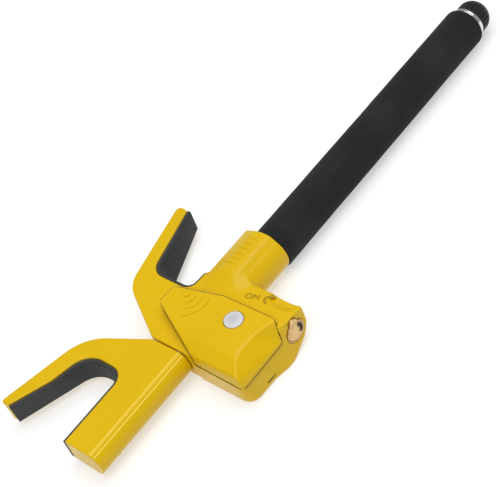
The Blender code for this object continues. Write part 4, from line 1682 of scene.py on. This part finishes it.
@dataclass
class Marks(Assembly):
    """Marks on the mouldings: sound waves, the lock's arrow and word, and ribs for the hand.

    Attributes:
        centre: Centre of the sound waves, seen from above.
        rise: Height of the waves and ribs.
        letter_size: Height of the letters.
        slot_place: Place of the dark slot across the bar.
        slot_radius: Half of its width.
    """

    centre: Point2 = (26.0, 17.0)
    rise: float = 0.6
    letter_size: float = 7.6
    # slot_place: Place of the dark tube, painted shade of a slot, across the bar.
    slot_place: Point2 = (-71.35, -12.8)
    slot_radius: float = 0.5

    def mark(self, item: Item, finish: Finish = YELLOW) -> None:
        """Dress a mark and put it on the head."""
        self.shop.add(item, Body.HEAD, finish, "yellow_shell")

    def sound_waves(self) -> None:
        """Three arcs and a dot on the cover."""
        for index, radius in enumerate((7.0, 13.5, 20.0)):
            path = arc(self.centre, radius, 208.0, 282.0, 30)
            level = np.full(len(path), COVER_TOP)
            name = f"sound_mark_{index + 1}"
            self.mark(raised_path(name, path, 2.8, level - 0.8, level + self.rise))
        dot = arc(self.centre, 2.4, 0.0, 350.0, 36)
        self.mark(flat_mark("sound_mark_4", dot, np.full(len(dot), COVER_TOP), self.rise))

    @staticmethod
    def strip_level(x: Array) -> Array:
        """Height of the strip beside the cover: 18 at x 40.3, falling to 14.5 at x 64."""
        return 18.0 - (x - 40.3) * 3.5 / 23.7

    def turn_arrow(self) -> None:
        """Curved arrow on the strip: an arc whose last end widens into a triangle."""
        centre = (56.2, -42.0)
        outer, inner = arc(centre, 4.8, 20.0, 190.0, 20), arc(centre, 2.8, 190.0, 20.0, 20)
        tip = [(1.4, 0.6), (5.0, -3.0), (6.6, 2.4)]
        point = np.array(centre) + np.array(tip)
        outline = np.concatenate([outer, inner, point])
        level = self.strip_level(outline[:, 0])
        # The arrow takes the darker yellow, painted shade.
        self.mark(flat_mark("turn_arrow", outline, level, 0.25), SHADED)

    def on_word(self) -> None:
        """Position word beside the arrow.

        A letter's point (u, v) goes to start + u x along + v x across, on the strip's surface.
        """
        curve = bpy.data.curves.new("on_letters", "FONT")
        curve.body = "ON"
        curve.size = self.letter_size
        curve.extrude = 0.5
        curve.offset = 0.16
        curve.resolution_u = 6
        text = bpy.data.objects.new("on_letters", curve)
        bpy.context.scene.collection.objects.link(text)
        mesh = bpy.data.meshes.new_from_object(text)
        bpy.data.objects.remove(text)
        bpy.data.curves.remove(curve)
        flat = np.empty(len(mesh.vertices) * 3)
        mesh.vertices.foreach_get("co", flat)
        flat = flat.reshape(-1, 3)
        along, across = np.array([0.35, -0.937]), np.array([0.937, 0.35])
        spot = np.array([48.2, -22.6]) + flat[:, :1] * along * 1.05 + flat[:, 1:2] * across
        rise = self.strip_level(spot[:, 0]) + flat[:, 2] - 0.25
        placed = (np.column_stack([spot, rise]) + np.array([0.0, 0.0, AXIS_HEIGHT])) * MM
        mesh.vertices.foreach_set("co", placed.ravel())
        mesh.update()
        item = bpy.data.objects.new("on_word", mesh)
        bpy.context.scene.collection.objects.link(item)
        # The word takes the darker yellow, painted shade.
        self.mark(item, SHADED)

    def hand_ribs(self) -> None:
        """Six ribs across the collar's dome, whose height is that of the dome's circle."""
        for index in range(6):
            y = np.linspace(0.5, 13.5, 24)
            x = np.full_like(y, 71.0 + 5.6 * index)
            level = -9.0 + np.sqrt(30.2**2 - (y - 1.5) ** 2)
            fade = np.clip(np.minimum(y - 0.5, 13.5 - y) / 1.0, 0.0, 1.0) ** 0.5
            top = level - 0.2 + (self.rise + 0.2) * fade
            path = np.stack([x, y], 1)
            self.mark(raised_path(f"hand_rib_{index + 1}", path, 2.4, level - 0.8, top))

    def side_slot(self) -> None:
        """Thin dark tube low on the lock's side: painted shade of a slot."""
        angle = np.linspace(0.0, 2.0 * math.pi, 12, endpoint=False)
        x = np.linspace(6.0, 17.0, 12)
        rings = np.empty((len(x), len(angle), 3))
        rings[..., 0] = x[:, None]
        rings[..., 1] = self.slot_place[0] + self.slot_radius * np.cos(angle)
        rings[..., 2] = self.slot_place[1] + self.slot_radius * np.sin(angle)
        item = tube_of(rings, "side_slot", sharp=50.0)
        # The dark tube paints the slot's shade.
        self.shop.add(item, Body.HEAD, SEAM_SHADOW, "mouth_rubber")

    def build(self) -> None:
        """Make all the marks."""
        self.side_slot()
        self.sound_waves()
        self.turn_arrow()
        self.on_word()
        self.hand_ribs()


@dataclass
class SeamLine(Assembly):
    """Dark tube in the joint round the cover: a painted shadow of the seam gap.

    Attributes:
        cover: The cover.
        radius: Radius of the dark tube's round section.
        thin: Share of the radius that it has in front and on the left side.
    """

    cover: Cover
    radius: float = 0.42
    thin: float = 0.6

    def path(self) -> Array:
        """Points of the joint: the cover's outline, at the height of the moulding it meets.

        Returns:
            Points, one row each.
        """
        marks = [
            (-17.4, -60.0, 6.15), (-17.2, -21.0, 6.15), (-16.0, -19.9, 12.3), (-9.0, -6.0, 12.35),
            (9.6, 32.6, 13.5), (11.0, 34.3, 22.9), (27.0, 33.3, 22.9), (29.0, 31.5, 22.9),
            (33.0, 15.0, 22.9), (36.5, 2.5, 22.9), (38.5, -9.0, 22.9), (39.6, -20.0, 22.9),
            (40.2, -58.0, 22.9), (39.6, -62.5, 22.4), (38.5, -65.0, 20.0), (37.5, -66.5, 17.2),
            (35.5, -68.5, 14.5), (34.2, -69.6, 9.0), (32.5, -71.0, 6.6), (29.0, -71.4, 6.15),
            (-8.0, -71.2, 6.15), (-14.6, -68.2, 6.15),
        ]
        corners = np.array([*marks, marks[0]])
        run = np.concatenate([[0.0], np.cumsum(np.linalg.norm(np.diff(corners, axis=0), axis=1))])
        even = np.linspace(0.0, run[-1], 420, endpoint=False)
        points = np.stack([np.interp(even, run, corners[:, i]) for i in range(3)], 1)
        wall_form = self.cover.form(-30.0)
        for _ in range(10):
            flat = settle(wall_form, points, 2.0, 1)
            points = np.column_stack([flat[:, :2], points[:, 2]])
        for _ in range(2):
            points = (np.roll(points, 1, axis=0) + 2.0 * points + np.roll(points, -1, axis=0)) / 4.0
        return points

    def build(self) -> None:
        """Carry a circle along the path, square to it, and close the loop."""
        path = self.path()
        ahead = np.roll(path, -1, axis=0) - np.roll(path, 1, axis=0)
        ahead /= np.linalg.norm(ahead, axis=1, keepdims=True)
        side = np.cross(ahead, (0.0, 0.0, 1.0))
        side /= np.linalg.norm(side, axis=1, keepdims=True)
        up = np.cross(side, ahead)
        angle = np.linspace(0.0, 2.0 * math.pi, 10, endpoint=False)[None, :, None]
        fine = (path[:, 1] < -63.0) | (path[:, 0] < -16.6)
        radius = np.where(fine, self.radius * self.thin, self.radius)[:, None, None]
        circle = np.cos(angle) * up[:, None] + np.sin(angle) * side[:, None]
        item = tube_of(path[:, None] + radius * circle, "cover_seam_shadow", looped=True)
        # The tube paints the shadow in the seam gap.
        self.shop.add(item, Body.HEAD, SEAM_SHADOW, "mouth_rubber")


@dataclass
class SlidingHook(Assembly):
    """Sliding hook: its moulding, its steel core and the notched rod.

    Attributes:
        cell: Size of the mesh's cells.
        rim: Radius of the moulding's rims.
        face: Place of the face that meets the head.
        back_radius: Radius of the round back.
        bead_radius: Radius of the ridges along the creases.
        rod_radius: Radius of the rod.
        rod_flat: Distance from the axis to the rod's flat.
        groove_radius: Radius at the bottom of a groove.
        groove_half: Half of a groove's width.
        grooves: Number of grooves.
        first_groove: Middle of the first groove.
        pitch: Distance between grooves.
    """

    cell: float = 0.7
    rim: float = 1.2
    face: float = -15.9
    back_radius: float = 13.84
    bead_radius: float = 0.5
    rod_radius: float = 9.0
    rod_flat: float = 8.2
    groove_radius: float = 6.5
    groove_half: float = 2.5
    grooves: int = 18
    first_groove: float = 49.0
    pitch: float = 12.0

    def arm(self) -> Solid:
        """Plate of the hook, whose mouth leans outwards towards the bottom.

        The distance is blended by height between the outlines of the top and the bottom.

        Returns:
            The plate.
        """
        outer = [
            (-122.8, 97.5, 2.5),
            (-42.3, 77.2, 42.0),
            (self.face, 23.0, 8.0),
            (self.face, -5.0, 0.0),
            (-123.0, -5.0, 0.0),
        ]
        top = plate(rounded(SLIDING_LIP + outer), -HOOK_HALF, HOOK_HALF, rim=self.rim)
        low = plate(rounded(SLIDING_WALL_LOW + outer), -HOOK_HALF, HOOK_HALF, rim=self.rim)

        def reach(x: Array, y: Array, z: Array) -> Array:
            """Blend of the two distances."""
            share = np.clip((HOOK_HALF - z) / (2.0 * HOOK_HALF), 0.0, 1.0)
            return top.reach(x, y, z) * (1.0 - share) + low.reach(x, y, z) * share

        return Solid(reach)

    def back(self) -> Solid:
        """Round back of the hook, with a narrow flat along each crease.

        Returns:
            The back.
        """
        half = math.degrees(math.asin(11.0 / self.back_radius))
        section = arc((0.0, 0.0), self.back_radius, 180.0 - half, 180.0 + half, 30)
        upper = [(5.0, 12.2), (-5.1, 12.2), (-7.5, 11.95)]
        outline = np.concatenate([upper, section, [(-6.5, -12.2), (5.0, -12.2)]])
        return plate(outline, -123.0, self.face, Axis.X, rim=0.8)

    def shell(self) -> Solid:
        """Moulding with its bore, core slot, pin hole and screw holes.

        Returns:
            The moulding.
        """
        solid = self.arm().join(self.back(), 0.4)
        solid = solid.cut(bar(Axis.X, (0.0, 0.0), 9.3, -110.0, 0.0))
        solid = solid.cut(core_slot(SLIDING_CORE))
        solid = solid.cut(bar(Axis.Y, (-40.0, 0.0), 2.8, -11.5, 30.0))
        return screw_holes(solid, JAW_SCREWS)

    def rod(self) -> Item:
        """Rod with its grooves, and a flat that keeps it from turning.

        Returns:
            The rod.
        """
        full, deep = self.rod_radius, self.groove_radius
        mould: list[Corner] = [(-109.7, 0.0, 0.0), (-109.7, full, 0.6)]
        for index in range(self.grooves):
            middle = self.first_groove + self.pitch * index
            start, end = middle - self.groove_half, middle + self.groove_half
            mould += [(start, full, 0.35), (start, deep, 0.35)]
            mould += [(end, deep, 0.35), (end, full, 0.35)]
        mould += [(262.0, full, 0.2), (262.0, 7.0, 0.2), (268.0, 7.0, 0.2), (268.0, full, 0.2)]
        mould += [(272.0, full, 0.9), (272.0, 0.0, 0.0)]
        profile = fillet_profile(mould, step=30.0)
        apart = np.hypot(*np.diff(profile, axis=0).T) > 1e-6
        profile = profile[np.concatenate([[True], apart])]
        radius = profile[:, 1:2]

        def flat(along: Array, angle: Array) -> Array:
            """What stands over the plane of the flat."""
            return np.maximum(radius - self.rod_flat / np.maximum(np.cos(angle), 0.05), 0.0)

        return turned("locking_rod", profile, Axis.X, segments=96, depth=flat, sharp=25.0)

    def bead(self, index: int, y: float, z: float) -> None:
        """Make and place the fine round ridge along one crease of the back, in a paler yellow that
        paints its highlight.

        Args:
            index: Number in its name.
            y: Place of its axis.
            z: Height of its axis.
        """
        angle = np.linspace(0.0, 2.0 * math.pi, 12, endpoint=False)
        x = np.linspace(-122.4, -17.0, 80)
        rings = np.empty((len(x), len(angle), 3))
        rings[..., 0] = x[:, None]
        rings[..., 1] = y + self.bead_radius * np.cos(angle)
        rings[..., 2] = z + self.bead_radius * np.sin(angle)
        item = tube_of(rings, f"crease_bead_{index}", sharp=50.0)
        self.shop.add(item, Body.HOOK, CREASE_HIGHLIGHT, "yellow_shell")

    def core(self) -> None:
        """Make and place the steel plate behind the mouth: a band along its edge, carried up."""
        outline = band(SLIDING_CORE, -CORE_W - GAP, -GAP - 0.5)
        levels = np.array([-CORE_HALF, CORE_HALF])
        rings = np.stack([np.column_stack([outline, np.full(len(outline), z)]) for z in levels])
        item = tube_of(rings[:, ::-1], "mouth_core", sharp=30.0)
        self.shop.fit(item, Body.HOOK, ZINC, "jaw_core")

    def build(self) -> None:
        """Make, dress and place the moulding, its creases, the core and the rod."""
        self.core()
        self.bead(1, -5.4, 12.0)
        self.bead(2, -9.1, 10.25)
        low, high = (-125, -16, -13.5), (-14, 101, 13.5)
        item = moulded("sliding_jaw", self.shell(), low, high, self.cell)
        self.shop.fit(item, Body.HOOK, YELLOW, "jaw_shell")
        self.shop.fit(self.rod(), Body.HOOK, ROD_STEEL, "notched_rod")


def lock_outline(grow: float) -> Array:
    """Barrel section: a large circle with a smaller one standing on it.

    Args:
        grow: How far the outline moves outwards.

    Returns:
        Points of the outline.
    """
    x, z = LOCK_AXIS
    lobe = arc((x, z + 9.2), 4.4 + grow, -5.0, 185.0, 20)
    body = arc((x, z), 10.0 + grow, 130.0, 410.0, 56)
    return np.concatenate([lobe, body])


@dataclass
class Lock(Assembly):
    """Brass barrel, the plug that the key turns and a dark insert down its keyway, which paints the
    keyway's shade.

    Attributes:
        face: Place of the barrel's face.
        end: Place of its inner end.
        bore: Radius of its bore.
        plug: Radius of the plug.
        teeth: Number of teeth along the keyway.
        keyway_radius: Radius of the keyway's outer edge.
        valley_radius: Radius of its inner edge between the teeth.
        tooth_radius: Radius of that edge at the teeth.
    """

    face: float = -70.8
    end: float = -38.2
    bore: float = 8.85
    plug: float = 8.5
    teeth: int = 6
    keyway_radius: float = 7.8
    valley_radius: float = 3.2
    tooth_radius: float = 5.4

    def keyway(self, grow: float) -> Array:
        """Crescent whose inner edge is a row of teeth.

        Args:
            grow: How far its edges move outwards.

        Returns:
            Outline seen along the lock's axis.
        """
        outer = arc(LOCK_AXIS, self.keyway_radius + grow, -46.0, 60.0, 28)
        angle = np.radians(np.linspace(60.0, -46.0, self.teeth * 2 + 1))
        even = np.arange(len(angle)) % 2 == 0
        radius = np.where(even, self.tooth_radius, self.valley_radius) - grow
        inner = np.array(LOCK_AXIS) + radius[:, None] * np.stack([np.cos(angle), np.sin(angle)], 1)
        return np.concatenate([outer, inner])

    def build(self) -> None:
        """Make, dress and place the three pieces."""
        barrel = plate(lock_outline(0.0), self.face, self.end, Axis.Y, rim=0.35)
        barrel = barrel.cut(bar(Axis.Y, LOCK_AXIS, self.bore, -90.0, 0.0), 0.3)
        item = moulded("lock_sleeve", barrel, (37, -72, -11), (61, -37, 17), 0.42)
        self.shop.fit(item, Body.HEAD, BRASS_FACE, "lock_barrel")
        disc = arc(LOCK_AXIS, self.plug, 0.0, 357.0, 120)
        core = plate(disc, self.face + 0.1, self.end, Axis.Y, rim=0.45)
        core = core.cut(plate(self.keyway(0.0), -90.0, self.face + 3.0, Axis.Y))
        item = moulded("key_plug", core, (39, -72, -9), (59, -37, 11), 0.34)
        self.shop.fit(item, Body.PLUG, BRASS_FACE, "lock_plug")
        # Dark insert down the keyway: painted shade.
        shade_outline = self.keyway(-0.08)
        low = np.insert(shade_outline, 1, self.face + 4.0, axis=1)
        high = np.insert(shade_outline, 1, self.face + 0.9, axis=1)
        item = tube_of(np.stack([low, high]), "keyway_shade", sharp=30.0)
        self.shop.add(item, Body.PLUG, KEYWAY_SHADE, "steel")


@dataclass
class Bush(Assembly):
    """Bush that guides the rod at the head's mouth.

    Attributes:
        span: Start and end along the bar.
        bore: Radius of its bore.
        radius: Outer radius.
    """

    span: Point2 = (-9.6, 8.4)
    bore: float = 9.3
    radius: float = 10.4

    def build(self) -> None:
        """Turn a plain sleeve with rounded ends."""
        start, end = self.span
        mould = [(start, self.bore, 0.3), (start, self.radius, 0.5)]
        mould += [(end, self.radius, 0.5), (end, self.bore, 0.3)]
        item = turned("rod_bush", fillet_profile(mould, closed=True), Axis.X, looped=True)
        self.shop.fit(item, Body.HEAD, BRASS, "guide_bush")


@dataclass
class AlarmButton(Assembly):
    """Milky push button: a low dome with a rounded rim over a straight stem.

    Attributes:
        radius: Radius of the button.
        dome: Height of its dome.
    """

    radius: float = 8.1
    dome: float = 0.9

    def build(self) -> None:
        """Turn the button; its dome is a parabola from the rim to the crown."""
        low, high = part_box("alarm_button")
        bottom, top = low.z / MM - AXIS_HEIGHT, high.z / MM - AXIS_HEIGHT
        across = np.linspace(self.radius - 0.8, 0.0, 20)
        rim = top - self.dome
        crown = np.stack([rim + self.dome * (1.0 - (across / self.radius) ** 2), across], 1)
        side, edge = (rim - 3.0, self.radius), (rim, self.radius)
        corner = corner_arc(side, edge, tuple(crown[0]), 0.6, 12.0)
        foot = np.array([(bottom, 0.0), (bottom, self.radius)])
        profile = np.concatenate([foot, corner, crown])
        item = turned("alarm_push", profile, Axis.Z, BUTTON_AXIS, segments=96, sharp=40.0)
        self.shop.fit(item, Body.BUTTON, MILKY, "alarm_button")


BRASS_FACE = FacedMetal(
    "turned_brass", (0.78, 0.53, 0.25), (0.60, 0.39, 0.17), 0.32, (LOCK_AXIS[0] * MM, 0.0, 0.020)
)
MILKY = Lens(
    "milky_lens",
    (0.60, 0.605, 0.625),
    (0.50, 0.505, 0.525),
    (BUTTON_AXIS[0] * MM, BUTTON_AXIS[1] * MM, 0.0),
    0.0081,
)


@dataclass(frozen=True)
class Lamp:
    """Square soft light.

    Attributes:
        name: Name of the light.
        place: Where it stands, in metres.
        size: Length of its side.
        power: Its power in watts.
    """

    name: str
    place: Point3
    size: float
    power: float


@dataclass
class Studio:
    """Pale floor, soft lights and the camera.

    Attributes:
        lens: Focal length of the camera in millimetres.
        place: Where the camera stands, in metres.
        turn: Its yaw, pitch and roll in degrees.
        sky: Strength of the white all round.
        lamps: The lights.
        aim: Point that they face.
        floor_half: Half of the floor's side.
        floor_glow: Light that the floor gives off by itself, which keeps shadows pale.
    """

    lens: float = 93.6
    place: Point3 = (-0.3270, -0.5964, 0.7945)
    turn: Point3 = (55.093, 45.802, -22.249)
    sky: float = 0.36
    lamps: tuple[Lamp, ...] = (
        Lamp("key", (-0.90, -0.30, 1.45), 0.9, 8.8),
        Lamp("overhead", (0.42, -0.08, 1.9), 1.8, 26.5),
    )
    aim: Point3 = (0.15, 0.0, 0.0)
    floor_half: float = 6.0
    floor_glow: float = 0.50

    def floor(self) -> None:
        """Large square under the object."""
        half = self.floor_half
        corners = [(-half, -half, 0.0), (half, -half, 0.0), (half, half, 0.0), (-half, half, 0.0)]
        mesh = bpy.data.meshes.new("floor")
        mesh.from_pydata(corners, [], [(0, 1, 2, 3)])
        item = bpy.data.objects.new("floor", mesh)
        bpy.context.scene.collection.objects.link(item)
        graph = Graph("floor_paper")
        cloud = graph.noise(3.0, 2.0)
        tone = graph.blend(cloud, (0.50, 0.50, 0.50), (0.52, 0.52, 0.52))
        glow = (self.floor_glow, self.floor_glow, self.floor_glow, 1.0)
        graph.set(Base_Color=tone, Roughness=0.9, Emission_Color=glow, Emission_Strength=1.0)
        item.data.materials.append(graph.material)

    def camera(self) -> None:
        """Camera from its yaw, pitch and roll: its axes are the sight line and two normals."""
        yaw, pitch, roll = (math.radians(angle) for angle in self.turn)
        ahead = np.array([
            math.cos(yaw) * math.cos(pitch), math.sin(yaw) * math.cos(pitch), -math.sin(pitch)
        ])
        level = np.array([math.sin(yaw), -math.cos(yaw), 0.0])
        upright = np.cross(level, ahead)
        right = math.cos(roll) * level + math.sin(roll) * upright
        up = -math.sin(roll) * level + math.cos(roll) * upright
        data = bpy.data.cameras.new("camera")
        data.lens = self.lens
        data.sensor_width = 36.0
        item = bpy.data.objects.new("camera", data)
        bpy.context.scene.collection.objects.link(item)
        rows = [(right[i], up[i], -ahead[i], self.place[i]) for i in range(3)]
        item.matrix_world = Matrix((*rows, (0.0, 0.0, 0.0, 1.0)))
        bpy.context.scene.camera = item

    def lamp(self, lamp: Lamp) -> None:
        """Hang a light so that it faces the middle of the object.

        Args:
            lamp: The light.
        """
        data = bpy.data.lights.new(lamp.name, "AREA")
        data.size = lamp.size
        data.energy = lamp.power
        item = bpy.data.objects.new(lamp.name, data)
        bpy.context.scene.collection.objects.link(item)
        item.location = lamp.place
        sight = Vector(self.aim) - Vector(lamp.place)
        item.rotation_euler = sight.to_track_quat("-Z", "Y").to_euler()

    def build(self) -> None:
        """Make the floor, the camera, the lights and the surrounding white."""
        scene = bpy.context.scene
        scene.view_settings.view_transform = "Standard"
        world = bpy.data.worlds.new("studio")
        scene.world = world
        world.use_nodes = True
        sky = world.node_tree.nodes["Background"]
        sky.inputs["Color"].default_value = (1.0, 1.0, 1.0, 1.0)
        sky.inputs["Strength"].default_value = self.sky
        self.floor()
        self.camera()
        for lamp in self.lamps:
            self.lamp(lamp)


FINISHED_NODES: dict[str, Finish] = {
    "fixed_hook_core": ZINC,
    "steel_tube": ROD_STEEL,
    "stop_sleeve": BRASS,
    "rod_stop_ring": BRASS,
    "lock_pawl": ROD_STEEL,
    "jaw_pin": ROD_STEEL,
    "circuit_board": BOARD,
    "battery_1": CELL,
    "battery_2": CELL,
    "siren": BLACK,
    "board_switch": BLACK,
    "battery_door": YELLOW,
    "door_screw": ZINC,
    **{f"{kind}_screw_{index}": ZINC for kind in ("cover", "hook", "jaw") for index in (1, 2, 3)},
}

FIXED_INNER_LOW: list[Corner] = [
    (103.8, 85.3, 0.0),
    (39.6, 59.6, 13.0),
    (39.6, 30.0, 7.0),
    (56.2, 29.4, 4.0),
    (59.6, 26.1, 2.0),
    (107.0, 26.1, 0.0),
]
FIXED_INNER_TOP: list[Corner] = [*shifted(FIXED_MOUTH, LINER_THICK)[:2], *FIXED_INNER_LOW[2:]]
SLIDING_INNER_TOP = shifted(SLIDING_LIP, LINER_THICK)


def main() -> None:
    """Build every sub-assembly in order."""
    logging.basicConfig(level=logging.INFO, format="%(message)s")
    shop = Workshop(frame)
    Studio().build()
    Grip(shop).build()
    cover = Cover(shop)
    Housing(shop, cover).build()
    cover.build()
    Marks(shop).build()
    fixed = (FIXED_MOUTH, FIXED_MOUTH, FIXED_INNER_TOP, FIXED_INNER_LOW, FIXED_LINER_HALF)
    Liner(shop, "fixed_mouth_strip", *fixed).build(Body.HEAD, "fixed_hook_liner")
    SlidingHook(shop).build()
    sliding = (SLIDING_LIP, SLIDING_WALL_LOW, SLIDING_INNER_TOP, SLIDING_INNER_LOW)
    strip = Liner(shop, "sliding_mouth_strip", *sliding, SLIDING_LINER_HALF)
    strip.build(Body.HOOK, "jaw_liner")
    Lock(shop).build()
    Bush(shop).build()
    SeamLine(shop, cover).build()
    AlarmButton(shop).build()
    for node, finish in FINISHED_NODES.items():
        shop.finish_node(node, finish)


if __name__ == "__main__":
    main()
